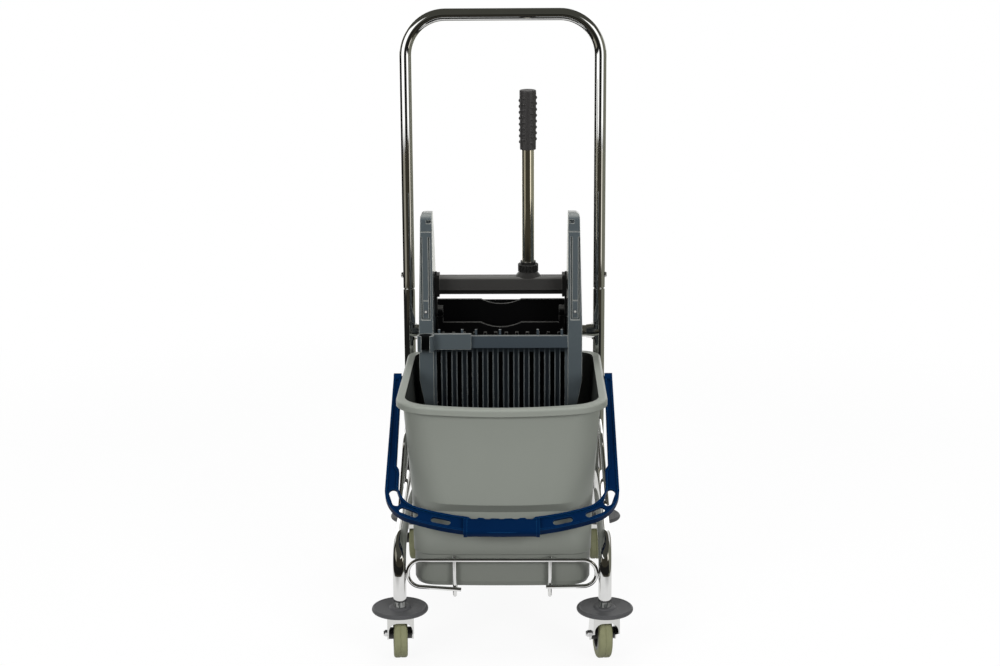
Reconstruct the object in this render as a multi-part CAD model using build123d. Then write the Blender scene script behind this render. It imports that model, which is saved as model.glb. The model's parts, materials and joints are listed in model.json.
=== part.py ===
from build123d import *
import os
from math import acos, atan2, cos, degrees, radians, sin, sqrt

# Mop bucket trolley with a lever wringer, in millimetres.
# +Z is up, the front of the trolley faces -Y, and the origin is on the floor under its middle.

# Frame tube and wire
TUBE_D = 20.0
TUBE_WALL = 1.5
WIRE_D = 6.0
WHEELBASE = 444.0
FRONT_TRACK = 310.0
REAR_SPREAD = 10.0
RAIL_RISE = 88.0
RAIL_BEND = 47.0
HANDLE_BEND = 66.0
JOINT_RISE = 73.5
HANDLE_RISE = 452.0
JOINT_GAP = 1.0
JOINT_BEVEL = 1.0
PLUG_LENGTH = 80.0
PLUG_FIT = 0.05

# Fixing screws of the push handle
HANDLE_SCREW_RISE = 23.0
HANDLE_SCREW_D = 5.0
HANDLE_SCREW_HEAD_D = 9.0
HANDLE_SCREW_HEAD = 3.0
HANDLE_SCREW_DOME = 1.8

# Rear cross tube and its saddles
CROSS_TUBE_RISE = 30.5
SADDLE_WALL = 2.5
SADDLE_HEIGHT = 26.0
SADDLE_FLARE = 3.5
SADDLE_LIP = 1.0
SADDLE_LENGTH = 11.0

# Wire cradle under the bucket
CRADLE_RISE = 13.0
CRADLE_DIP = 8.5
CRADLE_DIP_LENGTH = 26.0
CRADLE_SPACING = 144.0
CRADLE_BEND = 9.0
CRADLE_TOP_OVER = 4.0
LOOP_RISE = 24.0
LOOP_HEIGHT = 41.0
LOOP_BEND = 20.0
LOOP_FORWARD = 2.0
LOOP_LEFT_END = 62.0
LOOP_LEFT_DROP = 6.0
LOOP_RIGHT_END = 66.0
LOOP_RIGHT_DROP = 1.5
HOOP_AHEAD = 183.0
HOOP_LENGTH = 120.0
HOOP_RISE = 103.0
HOOP_BEND = 20.0

# Caster
WHEEL_D = 75.0
TREAD_W = 21.0
TREAD_ROUND = 4.0
TREAD_GROOVE_W = 2.4
TREAD_GROOVE = 0.8
TYRE_BORE_D = 51.0
HUB_WEB = 9.0
HUB_RIM = 4.5
HUB_BOSS_D = 18.0
AXLE_D = 8.0
AXLE_NUT_D = 11.0
AXLE_NUT = 3.5
AXLE_TAIL = 2.0
TRAIL = 21.0
FORK_W = 40.0
FORK_SHEET = 2.0
FORK_FRONT = 19.0
FORK_REAR = 15.0
FORK_LIP = 10.0
FORK_ARCH_ROUND = 13.0
FORK_SKIRT = 27.0
FORK_EYE = 10.0
WHEEL_TOP_GAP = 3.0
KINGPIN_D = 10.0
KINGPIN_HEAD_D = 16.0
KINGPIN_HEAD = 2.0
SWIVEL_GAP = 0.3
RUN_FIT = 0.05
DISC_D = 85.4
DISC_BOSS_D = 28.0
DISC_BOSS = 2.2
DISC_RIM = 6.0
DISC_RIM_W = 5.0
DISC_DISH = 1.2
DISC_RING_D = 30.0
DISC_RING = 2.0
DISC_BEAD = 0.6
NECK_HEIGHT = 8.7
STEM_INSERT = 38.0
SWIVEL_TURN = {"front_left": 5.5, "front_right": 7.0, "rear_left": -2.0, "rear_right": 0.0}

# Bucket
SEAT_GAP = 0.3
BUCKET_WALL = 3.0
BUCKET_SIDE_GAP = 10.3
BUCKET_FRONT_GAP = 1.8
BASE_LENGTH = 324.0
STEP_HEIGHT = 52.0
STEP_OUT = 1.6
RECESS_HEIGHT = 120.5
RECESS_OUT = 2.5
SHOULDER_HEIGHT = 136.5
SHOULDER_OUT = 4.2
SHOULDER_FORWARD = 18.0
RIM_HEIGHT = 289.2
RIM_BAND = 11.0
RIM_LIP = 10.0
WALL_OUT = 9.6
WALL_FORWARD = 11.0
WALL_BACK = 20.0
RIM_BOW = 32.0
RIM_CORNER = 66.0
FOOT_ROUND = 10.0
BASE_CORNER = 31.0
BASE_BOW = 4.0
RECESS_CORNER = 48.0
RECESS_BOW = 12.0
SHOULDER_CORNER = 76.0
SHOULDER_BOW = 22.0
REAR_CORNER = 34.0
SIDE_FLARE = 2.0
RIM_ROUND = 4.0
RIM_GAP = 2.8

# Bail handle, measured along its arm from the pivot
BAIL_GAP = 1.6
BAIL_ARM = 12.0
BAIL_SPLAY = 4.0
BAIL_WIDE = 4.5
BAIL_NARROW_LENGTH = 171.0
BAIL_BEVEL = 8.0
BAIL_PLATE = 12.0
BAIL_EDGE = 3.0
BAIL_WEB = 5.0
BAIL_REACH = 292.0
BAIL_BAND = 25.0
BAIL_BOW_R = 400.0
BAIL_CORNER = 55.0
BAIL_INNER_CORNER = 44.0
BAIL_EASE = 6.5
BAIL_EYE_D = 16.0
BAIL_GRIP_LENGTH = 108.0
BAIL_GRIP = 16.0
BAIL_GRIP_ROUND = 6.0
BAIL_GRIP_PROUD = 0.8
BAIL_COLLAR = 5.0
BAIL_COLLAR_PROUD = 0.6
FINGER_WAVES = 5
FINGER_R = 11.0
FINGER_DEPTH = 2.0
BAIL_PIVOT_BACK = 225.0
BAIL_PIVOT_DROP = 7.0
BAIL_STUD_D = 7.0
BAIL_STUD_HEAD_D = 10.5
BAIL_STUD_HEAD = 2.0
BAIL_STUD_DEPTH = 8.0
BAIL_SLOT_W = 10.0
BAIL_SLOT_LENGTH = 31.0
BAIL_SLOT_IN = 12.5
BAIL_SLOT_ANGLES = (18.0, 66.0)
BAIL_SLOT_OUT = 91.0
BAIL_SLOT_TOP_W = 13.0
BAIL_SLOT_TOP_IN = 14.0

# Wringer frame
WRINGER_X = -4.0
WRINGER_SIDE_GAP = 14.5
CHEEK_W = 23.0
CHEEK_WEB = 5.0
CHEEK_RIM = 4.0
CHEEK_TUBE_GAP = 33.0
CHEEK_DEPTH = 96.0
CHEEK_RISE = 220.0
CHEEK_DROP = 133.5
CHEEK_TOP_DEPTH = 30.0
CHEEK_SHOULDER_RISE = 99.5
CHEEK_FOOT_TAPER = 16.0
CHEEK_FOOT_HEIGHT = 82.0
CHEEK_TOP_TAPER = 4.5
CHEEK_TAPER_RISE = 40.0
CHEEK_CAP_ROUND = 7.0
STRIP_W = 15.0
STRIP_DEPTH = 2.5
STRIP_LOW = 47.5
STRIP_HIGH = 182.0
STRIP_PANEL_W = 9.5
STRIP_PANEL_LOW = 50.5
STRIP_SEAM_RISE = 79.0
SEAM = 1.0
SEAM_RISE = 190.0
TOP_HOLE_W = 7.5
TOP_HOLE_HEIGHT = 5.5
TOP_HOLE_IN = 6.0
TOP_HOLE_RISE = 206.5
CHEEK_TOP_ROUND = 12.0
CHEEK_BULGE = 8.0
CHEEK_RIB = 3.0
CHEEK_RIBS = 4
JOURNAL_BOSS_D = 28.0
JOURNAL_LENGTH = 14.0
CHEEK_SCREW_D = 4.0
CHEEK_SCREW_LENGTH = 10.0
CHEEK_SCREW_HEAD = 1.8
CHEEK_SCREW_HEAD_D = 7.0
CHEEK_SCREW_RISE = 61.5
BEAM_TOP_RISE = 21.8
BEAM_HEIGHT = 20.5
BEAM_DEPTH = 7.0
BEAM_ROUND = 1.0
PEG_D = 4.0
PEG_HEIGHT = 10.0
PEG_SHARES = (-0.95, -0.595, -0.38, -0.01, 0.575, 0.945)
GRILLE_DEPTH = 6.0
GRILLE_SETBACK = 1.0
GRILLE_SLOTS = 13
GRILLE_SLOT_W = 7.0
GRILLE_WALL = 1.8
GRILLE_RAIL = 7.0
GRILLE_GROOVE = 4.0
REAR_PLATE_T = 6.0
REAR_PLATE_SETBACK = 2.0
REAR_PLATE_RISE = 65.0
REAR_PLATE_BACK_DROP = 1.5
PLATE_DIP = 8.0
PLATE_DIP_W = 66.0
FLOOR_T = 5.0
DRAIN_SLOTS = 12
DRAIN_SLOT_W = 6.0
DRAIN_EDGE = 9.0
HOOK_W = 12.0
HOOK_WALL = 6.0
HOOK_FIT = 0.3
HOOK_TAIL = 8.0
HOOK_ROOT = 38.0
HOOK_BEVEL = 3.0

# Mop clip on the front beam
CLIP_BORE_D = 20.0
CLIP_WALL = 3.5
CLIP_HEIGHT = 26.0
CLIP_OVER = 4.5
CLIP_MOUTH = 13.0
CLIP_GAP = 0.5
CLIP_BRACKET_T = 6.0
CLIP_BRACKET_END = 47.0

# Press lever and press plate
LEVER_BACK = 56.0
LEVER_RISE = 95.5
LEVER_LEAN = 5.0
LEVER_SWING = 70.0
LEVER_OFFSET = 44.5
CRANK_RADIUS = 45.0
CRANK_TILT = 8.0
CRANK_T = 3.5
CRANK_GAP = 0.5
CRANK_END_R = 10.0
CRANK_TOP = 22.0
JOURNAL_D = 16.0
BAR_HEIGHT = 28.5
BAR_DEPTH = 24.0
BAR_ROUND = 4.0
BAR_LIP = 7.0
BAR_LIP_BACK = 4.0
FLANGE_HEIGHT = 36.0
FLANGE_DEPTH = 29.0
FLANGE_W = 8.0
SOCKET_FLOOR = 3.0
SOCKET_BASE_W = 46.0
SOCKET_TOP_D = 28.0
SOCKET_HEIGHT = 9.0
COLLAR_D = 33.0
COLLAR_HEIGHT = 11.0
COLLAR_RING_D = 25.0
COLLAR_RING = 5.0
COLLAR_GROOVES = 18
COLLAR_GROOVE_D = 3.0
LEVER_TUBE_D = 20.0
LEVER_TUBE_WALL = 1.5
LEVER_LENGTH = 317.0
GRIP_D = 26.5
GRIP_FOOT_D = 25.5
GRIP_LENGTH = 94.0
GRIP_CAP = 3.0
GRIP_ROUND = 1.5
PLATE_PIN_D = 8.0
PLATE_T = 7.0
PLATE_RIB = 4.0
PLATE_RIBS = 12
PLATE_RIB_W = 5.0
PLATE_SIDE_GAP = 0.3
PLATE_EAR_W = 9.0
PLATE_EAR_R = 9.0
PLATE_TOP_DROP = 19.0
PLATE_FLOOR_GAP = 3.0
GUIDE_PEG_D = 6.0
GUIDE_PEG_RISE = 20.0
GUIDE_GAP = 1.0

# Heights and places that follow from the sizes above
tube_r = TUBE_D / 2
bore_r = tube_r - TUBE_WALL
wire_r = WIRE_D / 2
bridge_z = WHEEL_D + WHEEL_TOP_GAP
disc_low_z = bridge_z + FORK_SHEET + SWIVEL_GAP
disc_rim_z = disc_low_z + DISC_BOSS
disc_top_z = disc_rim_z + DISC_RIM + DISC_RING - DISC_DISH
leg_end_z = disc_top_z + NECK_HEIGHT
rail_z = leg_end_z + RAIL_RISE
cradle_z = leg_end_z + CRADLE_RISE
cradle_low_z = cradle_z - CRADLE_DIP
loop_low_z = leg_end_z + LOOP_RISE
loop_top_z = loop_low_z + LOOP_HEIGHT
rear_track = FRONT_TRACK + REAR_SPREAD
front_y = -(WHEELBASE + TRAIL + WHEEL_D / 2 - DISC_D / 2) / 2
rear_y = front_y + WHEELBASE
front_loop_y = front_y - LOOP_FORWARD
rear_loop_y = rear_y + LOOP_FORWARD
cradle_front_y = front_loop_y + WIRE_D
cradle_rear_y = rear_loop_y - WIRE_D

bucket_z = cradle_z + wire_r + SEAT_GAP
rim_z = bucket_z + RIM_HEIGHT
base_half = FRONT_TRACK / 2 - tube_r - BUCKET_SIDE_GAP - STEP_OUT
base_front = cradle_front_y + wire_r + BUCKET_FRONT_GAP + STEP_OUT
base_rear = base_front + BASE_LENGTH
wall_half = base_half + STEP_OUT + SHOULDER_OUT + WALL_OUT
wall_front = base_front - STEP_OUT - SHOULDER_FORWARD - WALL_FORWARD
wall_rear = base_rear + WALL_BACK
rim_half = wall_half + RIM_LIP
rim_front = wall_front - RIM_LIP
rim_rear = wall_rear + RIM_LIP

upright_y = rim_rear + RIM_GAP + tube_r
cross_z = rim_z + CROSS_TUBE_RISE
joint_z = cross_z + JOINT_RISE
handle_z = joint_z + HANDLE_RISE

wringer_half = wall_half - BUCKET_WALL - WRINGER_SIDE_GAP
cheek_inner = wringer_half - CHEEK_W
cheek_rear_y = upright_y - tube_r - CHEEK_TUBE_GAP
cheek_front_y = cheek_rear_y - CHEEK_DEPTH
wringer_low_z = cross_z - CHEEK_DROP
beam_top_z = cross_z + BEAM_TOP_RISE
beam_low_z = beam_top_z - BEAM_HEIGHT
grille_front_y = cheek_front_y + GRILLE_SETBACK
rear_plate_y = cheek_rear_y - REAR_PLATE_SETBACK - REAR_PLATE_T
lever_y = cheek_front_y + LEVER_BACK
lever_z = cross_z + LEVER_RISE
pin_y = lever_y + CRANK_RADIUS * sin(radians(CRANK_TILT))
pin_z = lever_z - CRANK_RADIUS * cos(radians(CRANK_TILT))
plate_low_z = wringer_low_z + FLOOR_T + PLATE_FLOOR_GAP
peg_z = plate_low_z + GUIDE_PEG_RISE

SIDES = {"left": -1, "right": 1}
CORNERS = {
    "front_left": (-FRONT_TRACK / 2, front_y),
    "front_right": (FRONT_TRACK / 2, front_y),
    "rear_left": (-rear_track / 2, rear_y),
    "rear_right": (rear_track / 2, rear_y),
}
nodes = {}


# Small shape helpers

def rod(diameter, start, end):
    """A round bar from one point to another."""
    axis = Vector(*end) - Vector(*start)
    return extrude(Plane(origin=start, z_dir=axis) * Circle(diameter / 2), axis.length)


def swept_rod(path, diameter, bore=0.0):
    """A wire or tube of one diameter along a path."""
    section = Circle(diameter / 2)
    if bore:
        section -= Circle(bore / 2)
    return sweep(Plane(origin=path @ 0, z_dir=path % 0) * section, path=path)


def block(x0, x1, y0, y1, z0, z1):
    """A box between two corners."""
    middle = ((x0 + x1) / 2, (y0 + y1) / 2, (z0 + z1) / 2)
    return Pos(*middle) * Box(x1 - x0, y1 - y0, z1 - z0)


def side_slab(face_in_yz, x0, x1):
    """A face drawn in the YZ plane, given its thickness from x0 to x1."""
    return extrude(Plane.YZ.offset(x0) * face_in_yz, x1 - x0)


def rail_x(y):
    """Distance of a side rail from the middle: the trolley is a little wider at the rear."""
    share = (y - front_y) / WHEELBASE
    return (FRONT_TRACK + REAR_SPREAD * share) / 2


# Frame: two side arches, two uprights, the push handle and the rear cross tube

def side_arch(side):
    """Front leg, rail and rear leg bent from one tube."""
    front = (side * FRONT_TRACK / 2, front_y)
    rear = (side * rear_track / 2, rear_y)
    path = FilletPolyline(
        (*front, leg_end_z), (*front, rail_z), (*rear, rail_z), (*rear, leg_end_z), radius=RAIL_BEND
    )
    return swept_rod(path, TUBE_D, 2 * bore_r)


def rail_core(side):
    """The full round of a side rail, to cope what stands on it."""
    ends = [(side * rail_x(y), y, rail_z) for y in (front_y, rear_y)]
    return rod(TUBE_D, *ends)


def handle_screw_hole(side):
    """Cross hole of a handle screw through the tube wall and into the plug."""
    x = side * rail_x(upright_y)
    z = joint_z + HANDLE_SCREW_RISE
    return rod(HANDLE_SCREW_D, (x, upright_y, z), (x + side * TUBE_D, upright_y, z))


def upright(side):
    """Tube standing on the rail, with the plug that the push handle slips over."""
    x = side * rail_x(upright_y)
    post = rod(TUBE_D, (x, upright_y, rail_z), (x, upright_y, joint_z))
    post = chamfer(post.edges().sort_by(Axis.Z)[-1], JOINT_BEVEL)
    post -= rail_core(side)
    post -= rod(2 * bore_r, (x, upright_y, rail_z), (x, upright_y, joint_z - PLUG_LENGTH / 2))
    plug_top = (x, upright_y, joint_z + PLUG_LENGTH / 2)
    post += rod(2 * (bore_r - PLUG_FIT), (x, upright_y, joint_z - TUBE_D), plug_top)
    return post - handle_screw_hole(side)


def push_handle():
    """Inverted U of tube that slips on both uprights."""
    x = rail_x(upright_y)
    foot_z = joint_z + JOINT_GAP
    path = FilletPolyline(
        (-x, upright_y, foot_z), (-x, upright_y, handle_z), (x, upright_y, handle_z),
        (x, upright_y, foot_z), radius=HANDLE_BEND,
    )
    bow = swept_rod(path, TUBE_D, 2 * bore_r)
    outer_feet = bow.edges().group_by(Axis.Z)[0].sort_by(SortBy.RADIUS)[-2:]
    bow = chamfer(outer_feet, JOINT_BEVEL)
    for side in SIDES.values():
        bow -= handle_screw_hole(side)
    return bow


def handle_screw(side):
    """Dome headed screw that holds the push handle on its plug."""
    x = side * rail_x(upright_y)
    z = joint_z + HANDLE_SCREW_RISE
    outer = x + side * tube_r
    shank = rod(HANDLE_SCREW_D, (x, upright_y, z), (outer, upright_y, z))
    head = rod(HANDLE_SCREW_HEAD_D, (outer, upright_y, z), (outer + side * HANDLE_SCREW_HEAD, upright_y, z))
    head = fillet(head.edges().sort_by(Axis.X)[-1 if side > 0 else 0], HANDLE_SCREW_DOME)
    return shank + head - rod(TUBE_D, (x, upright_y, z - TUBE_D), (x, upright_y, z + TUBE_D)) + shank


def upright_core(side, diameter):
    """The full round of an upright beside the cross tube."""
    x = side * rail_x(upright_y)
    return rod(diameter, (x, upright_y, cross_z - TUBE_D * 2), (x, upright_y, cross_z + TUBE_D * 2))


def cross_tube():
    """Tube between the uprights, coped to their round."""
    x = rail_x(upright_y)
    bar = rod(TUBE_D, (-x, upright_y, cross_z), (x, upright_y, cross_z))
    bar -= rod(2 * bore_r, (-x, upright_y, cross_z), (x, upright_y, cross_z))
    for side in SIDES.values():
        bar -= upright_core(side, TUBE_D)
    return bar


def cross_saddle(side):
    """Half sleeve on the upright with a flared collar round the end of the cross tube."""
    x = side * rail_x(upright_y)
    sleeve_d = TUBE_D + 2 * SADDLE_WALL
    low = (x, upright_y, cross_z - SADDLE_HEIGHT / 2)
    high = (x, upright_y, cross_z + SADDLE_HEIGHT / 2)
    saddle = rod(sleeve_d, low, high)
    flare_start = Plane(origin=(x, upright_y, cross_z), z_dir=(-side, 0, 0))
    wide = flare_start * Circle(tube_r + SADDLE_FLARE)
    narrow = flare_start.offset(tube_r + SADDLE_LENGTH) * Circle(tube_r + SADDLE_LIP)
    saddle += loft([wide, narrow])
    saddle -= upright_core(side, TUBE_D)
    saddle -= rod(TUBE_D, (0, upright_y, cross_z), (x, upright_y, cross_z))
    outer_half = sorted((x, x + side * TUBE_D))
    saddle -= block(*outer_half, upright_y - TUBE_D, upright_y + TUBE_D, cross_z - TUBE_D, cross_z + TUBE_D)
    return saddle


for name, side in SIDES.items():
    nodes["arch_" + name] = side_arch(side)
    nodes["upright_" + name] = upright(side)
    nodes["cross_saddle_" + name] = cross_saddle(side)
nodes["push_handle"] = push_handle()
nodes["rear_cross_tube"] = cross_tube()
nodes["handle_screws"] = Compound([handle_screw(side) for side in SIDES.values()])


# Wire cradle that carries the bucket

def wire_loop(y, track):
    """Flat wire loop between two legs, open along its lower run, where both ends sag a little."""
    half = track / 2 - sqrt((tube_r + wire_r) ** 2 - LOOP_FORWARD ** 2)
    path = FilletPolyline(
        (LOOP_RIGHT_END, y, loop_low_z - LOOP_RIGHT_DROP), (half, y, loop_low_z), (half, y, loop_top_z),
        (-half, y, loop_top_z), (-half, y, loop_low_z), (-LOOP_LEFT_END, y, loop_low_z - LOOP_LEFT_DROP),
        radius=LOOP_BEND,
    )
    return swept_rod(path, WIRE_D)


def cradle_wire(x):
    """Wire behind both loops that dips at its ends and carries the bucket between them."""
    top_z = loop_top_z + CRADLE_TOP_OVER
    dip_front = cradle_front_y + CRADLE_DIP_LENGTH
    dip_rear = cradle_rear_y - CRADLE_DIP_LENGTH
    path = FilletPolyline(
        (x, cradle_front_y, top_z), (x, cradle_front_y, cradle_low_z), (x, dip_front, cradle_low_z),
        (x, dip_front + CRADLE_DIP, cradle_z), (x, dip_rear - CRADLE_DIP, cradle_z),
        (x, dip_rear, cradle_low_z), (x, cradle_rear_y, cradle_low_z), (x, cradle_rear_y, top_z),
        radius=CRADLE_BEND,
    )
    return swept_rod(path, WIRE_D)


def side_hoop(side):
    """Wire hoop beside the bucket: its feet are welded to the outside of a rail, and it leans in above."""
    near_y = upright_y - HOOP_AHEAD
    far_y = near_y + HOOP_LENGTH
    top_z = rail_z + tube_r + HOOP_RISE
    feet = [(side * (rail_x(y) + tube_r), y, rail_z) for y in (near_y, far_y)]
    tops = [(side * rail_x(y), y, top_z) for y in (near_y, far_y)]
    path = FilletPolyline(feet[0], tops[0], tops[1], feet[1], radius=HOOP_BEND)
    return swept_rod(path, WIRE_D) - rail_core(side)


nodes["front_wire_loop"] = wire_loop(front_loop_y, FRONT_TRACK)
nodes["rear_wire_loop"] = wire_loop(rear_loop_y, rear_track)
nodes["cradle_wires"] = Compound([cradle_wire(side * CRADLE_SPACING / 2) for side in SIDES.values()])
for name, side in SIDES.items():
    nodes["side_hoop_" + name] = side_hoop(side)


# Casters: each is drawn with its kingpin at x = y = 0 and its wheel trailing to +Y

wheel_r = WHEEL_D / 2
fork_inner = FORK_W / 2 - FORK_SHEET
boss_half = fork_inner - SWIVEL_GAP
axle_centre = (0, TRAIL, wheel_r)


def caster_stem():
    """Plug in the leg, the neck below it and the kingpin with its riveted head."""
    plug = rod(2 * bore_r, (0, 0, disc_top_z), (0, 0, leg_end_z + STEM_INSERT))
    head_top = bridge_z - SWIVEL_GAP
    pin = rod(KINGPIN_D, (0, 0, head_top), (0, 0, disc_top_z))
    head = rod(KINGPIN_HEAD_D, (0, 0, head_top - KINGPIN_HEAD), (0, 0, head_top))
    return plug + pin + head


def bumper_disc():
    """Saucer shaped rubber bumper clamped on the kingpin."""
    disc_r = DISC_D / 2
    rim_top = disc_rim_z + DISC_RIM
    dish_z = rim_top - DISC_DISH
    ring_r = DISC_RING_D / 2
    lines = [
        Line((KINGPIN_D / 2, disc_low_z), (DISC_BOSS_D / 2, disc_low_z)),
        Line((DISC_BOSS_D / 2, disc_low_z), (DISC_BOSS_D / 2, disc_rim_z)),
        Line((DISC_BOSS_D / 2, disc_rim_z), (disc_r - DISC_RIM_W, disc_rim_z)),
        ThreePointArc(
            (disc_r - DISC_RIM_W, disc_rim_z), (disc_r, disc_rim_z + DISC_RIM * DISC_BEAD),
            (disc_r - DISC_RIM_W, rim_top),
        ),
        Line((disc_r - DISC_RIM_W, rim_top), (ring_r + DISC_RING, dish_z)),
        ThreePointArc(
            (ring_r + DISC_RING, dish_z), (ring_r, disc_top_z - DISC_RING / 6),
            (ring_r - DISC_RING, disc_top_z),
        ),
        Line((ring_r - DISC_RING, disc_top_z), (KINGPIN_D / 2, disc_top_z)),
        Line((KINGPIN_D / 2, disc_top_z), (KINGPIN_D / 2, disc_low_z)),
    ]
    return revolve(Plane.XZ * make_face(lines), Axis.Z)


def fork_outline():
    """Side view of the fork: a hood over the wheel that runs back and down to the axle."""
    top = bridge_z + FORK_SHEET
    skirt = bridge_z - FORK_SKIRT
    corners = Polyline(
        (-FORK_FRONT, top), (FORK_REAR, top), (TRAIL + FORK_EYE, wheel_r), (TRAIL - FORK_EYE, wheel_r),
        (-FORK_FRONT, skirt), close=True,
    )
    return make_face(corners) + Pos(TRAIL, wheel_r) * Circle(FORK_EYE)


def caster_fork():
    """Pressed sheet fork with two cheeks, an arched front and the kingpin hole."""
    fork = side_slab(fork_outline(), -FORK_W / 2, FORK_W / 2)
    far_y = TRAIL + WHEEL_D
    fork -= block(-fork_inner, fork_inner, -FORK_FRONT + FORK_SHEET, far_y, 0, bridge_z)
    opening = block(-fork_inner, fork_inner, -2 * FORK_FRONT, 0, 0, bridge_z - FORK_LIP)
    fork -= fillet(opening.edges().filter_by(Axis.Y).group_by(Axis.Z)[-1], FORK_ARCH_ROUND)
    fork -= rod(KINGPIN_D + 2 * RUN_FIT, (0, 0, 0), (0, 0, disc_low_z))
    return fork - rod(AXLE_D, (-FORK_W, TRAIL, wheel_r), (FORK_W, TRAIL, wheel_r))


def axle_bolt():
    """Axle bolt riveted flush in the right fork cheek, with its nut outside the left one."""
    half = FORK_W / 2
    shank = rod(AXLE_D, (-half - AXLE_NUT - AXLE_TAIL, TRAIL, wheel_r), (half, TRAIL, wheel_r))
    nut_face = Plane(origin=(-half, TRAIL, wheel_r), z_dir=(-1, 0, 0)) * RegularPolygon(AXLE_NUT_D / 2, 6)
    return shank + extrude(nut_face, AXLE_NUT)


def tyre():
    """Soft tread ring with rounded shoulders and a moulding line round its middle."""
    half = TREAD_W / 2
    bore = TYRE_BORE_D / 2
    groove = TREAD_GROOVE_W / 2
    round_z = wheel_r - TREAD_ROUND
    corner = TREAD_ROUND * sqrt(0.5)
    lines = [
        Line((-half, bore), (half, bore)),
        Line((half, bore), (half, round_z)),
        ThreePointArc(
            (half, round_z), (half - TREAD_ROUND + corner, round_z + corner), (half - TREAD_ROUND, wheel_r)
        ),
        Line((half - TREAD_ROUND, wheel_r), (groove, wheel_r)),
        Line((groove, wheel_r), (0, wheel_r - TREAD_GROOVE)),
        Line((0, wheel_r - TREAD_GROOVE), (-groove, wheel_r)),
        Line((-groove, wheel_r), (-half + TREAD_ROUND, wheel_r)),
        ThreePointArc(
            (-half + TREAD_ROUND, wheel_r), (-half + TREAD_ROUND - corner, round_z + corner), (-half, round_z)
        ),
        Line((-half, round_z), (-half, bore)),
    ]
    ring = revolve(Plane.XZ * make_face(lines), Axis.X)
    return Pos(*axle_centre) * ring


def wheel_hub():
    """Wheel centre with a web, a rim for the tyre and a boss that runs on the axle."""
    rim = TREAD_W / 2
    outer = TYRE_BORE_D / 2
    inner = outer - HUB_RIM
    boss = HUB_BOSS_D / 2
    web = HUB_WEB / 2
    bore = AXLE_D / 2 + RUN_FIT
    points = [
        (boss_half, bore), (boss_half, boss), (web, boss), (web, inner), (rim, inner), (rim, outer),
        (-rim, outer), (-rim, inner), (-web, inner), (-web, boss), (-boss_half, boss), (-boss_half, bore),
    ]
    hub = revolve(Plane.XZ * make_face(Polyline(*points, close=True)), Axis.X)
    return Pos(*axle_centre) * hub


CASTER_PIECES = {
    "stem": caster_stem, "bumper": bumper_disc, "fork": caster_fork,
    "axle": axle_bolt, "tyre": tyre, "hub": wheel_hub,
}
for corner_name, (x, y) in CORNERS.items():
    place = Pos(x, y, 0) * Rot(0, 0, SWIVEL_TURN[corner_name])
    for piece_name, make in CASTER_PIECES.items():
        nodes[f"{corner_name}_{piece_name}"] = place * make()


# Bucket: a tapered shell with a shoulder, a recessed foot and a rim that stands out

def plan(z, half, front, rear, bow, corner, inset=0.0):
    """Outline of the bucket at one height: straight sides, rounded corners and a bowed front."""
    half -= inset
    front += inset
    rear -= inset
    side_y = front + bow
    outline = make_face([
        Line((half, side_y), (half + SIDE_FLARE, rear)),
        Line((half + SIDE_FLARE, rear), (-half - SIDE_FLARE, rear)),
        Line((-half - SIDE_FLARE, rear), (-half, side_y)),
        ThreePointArc((-half, side_y), (0, front), (half, side_y)),
    ])
    outline = fillet(outline.vertices().group_by(Axis.Y)[0], corner - inset)
    outline = fillet(outline.vertices().group_by(Axis.Y)[-1], min(corner, REAR_CORNER) - inset)
    return Pos(0, 0, z) * outline


step_half = base_half + STEP_OUT
shoulder_half = step_half + SHOULDER_OUT
shoulder_front = base_front - STEP_OUT - SHOULDER_FORWARD
wall_top_z = rim_z - RIM_BAND


def bucket_levels():
    """Height, half width, front, rear, bow and corner of each change in the wall, from the foot up."""
    heel = FOOT_ROUND * (1 - sqrt(0.5))
    base = (BASE_BOW, BASE_CORNER)
    recess = (RECESS_BOW, RECESS_CORNER)
    shoulder = (SHOULDER_BOW, SHOULDER_CORNER)
    step_front = base_front - STEP_OUT
    step_rear = base_rear + STEP_OUT
    return [
        (0, base_half - FOOT_ROUND, base_front + FOOT_ROUND, base_rear - FOOT_ROUND, *base),
        (heel, base_half - heel, base_front + heel, base_rear - heel, *base),
        (FOOT_ROUND, base_half, base_front, base_rear, *base),
        (STEP_HEIGHT, base_half, base_front, base_rear, *base),
        (STEP_HEIGHT + STEP_OUT, step_half, step_front, step_rear, *base),
        (RECESS_HEIGHT, step_half + RECESS_OUT, step_front, step_rear, *recess),
        (SHOULDER_HEIGHT, shoulder_half, shoulder_front, base_rear + WALL_BACK / 2, *shoulder),
        (RIM_HEIGHT - RIM_BAND, wall_half, wall_front, wall_rear, RIM_BOW, RIM_CORNER - RIM_LIP),
    ]


def stacked(levels, inset=0.0):
    """Lofts between the outlines of neighbouring levels, one on top of the other."""
    outlines = [plan(bucket_z + height, *rest, inset) for height, *rest in levels]
    return [loft(pair, ruled=True) for pair in zip(outlines, outlines[1:])]


def bucket():
    """Moulded shell, open at the top, with a rim band and the bores of the bail studs."""
    levels = bucket_levels()
    shell = extrude(plan(wall_top_z, rim_half, rim_front, rim_rear, RIM_BOW, RIM_CORNER), RIM_BAND)
    shell = fillet(shell.faces().sort_by(Axis.Z)[-1].edges(), RIM_ROUND)
    for layer in stacked(levels):
        shell += layer
    foot = [(height + BUCKET_WALL, *rest) for height, *rest in levels[:3]]
    mouth = (RIM_HEIGHT + BUCKET_WALL, *levels[-1][1:])
    for layer in stacked(foot + levels[3:] + [mouth], BUCKET_WALL):
        shell -= layer
    for side in SIDES.values():
        shell -= bail_stud_bore(side)
    return shell


# Bail handle: a flat moulded bow that hangs on two studs in the rim

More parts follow.
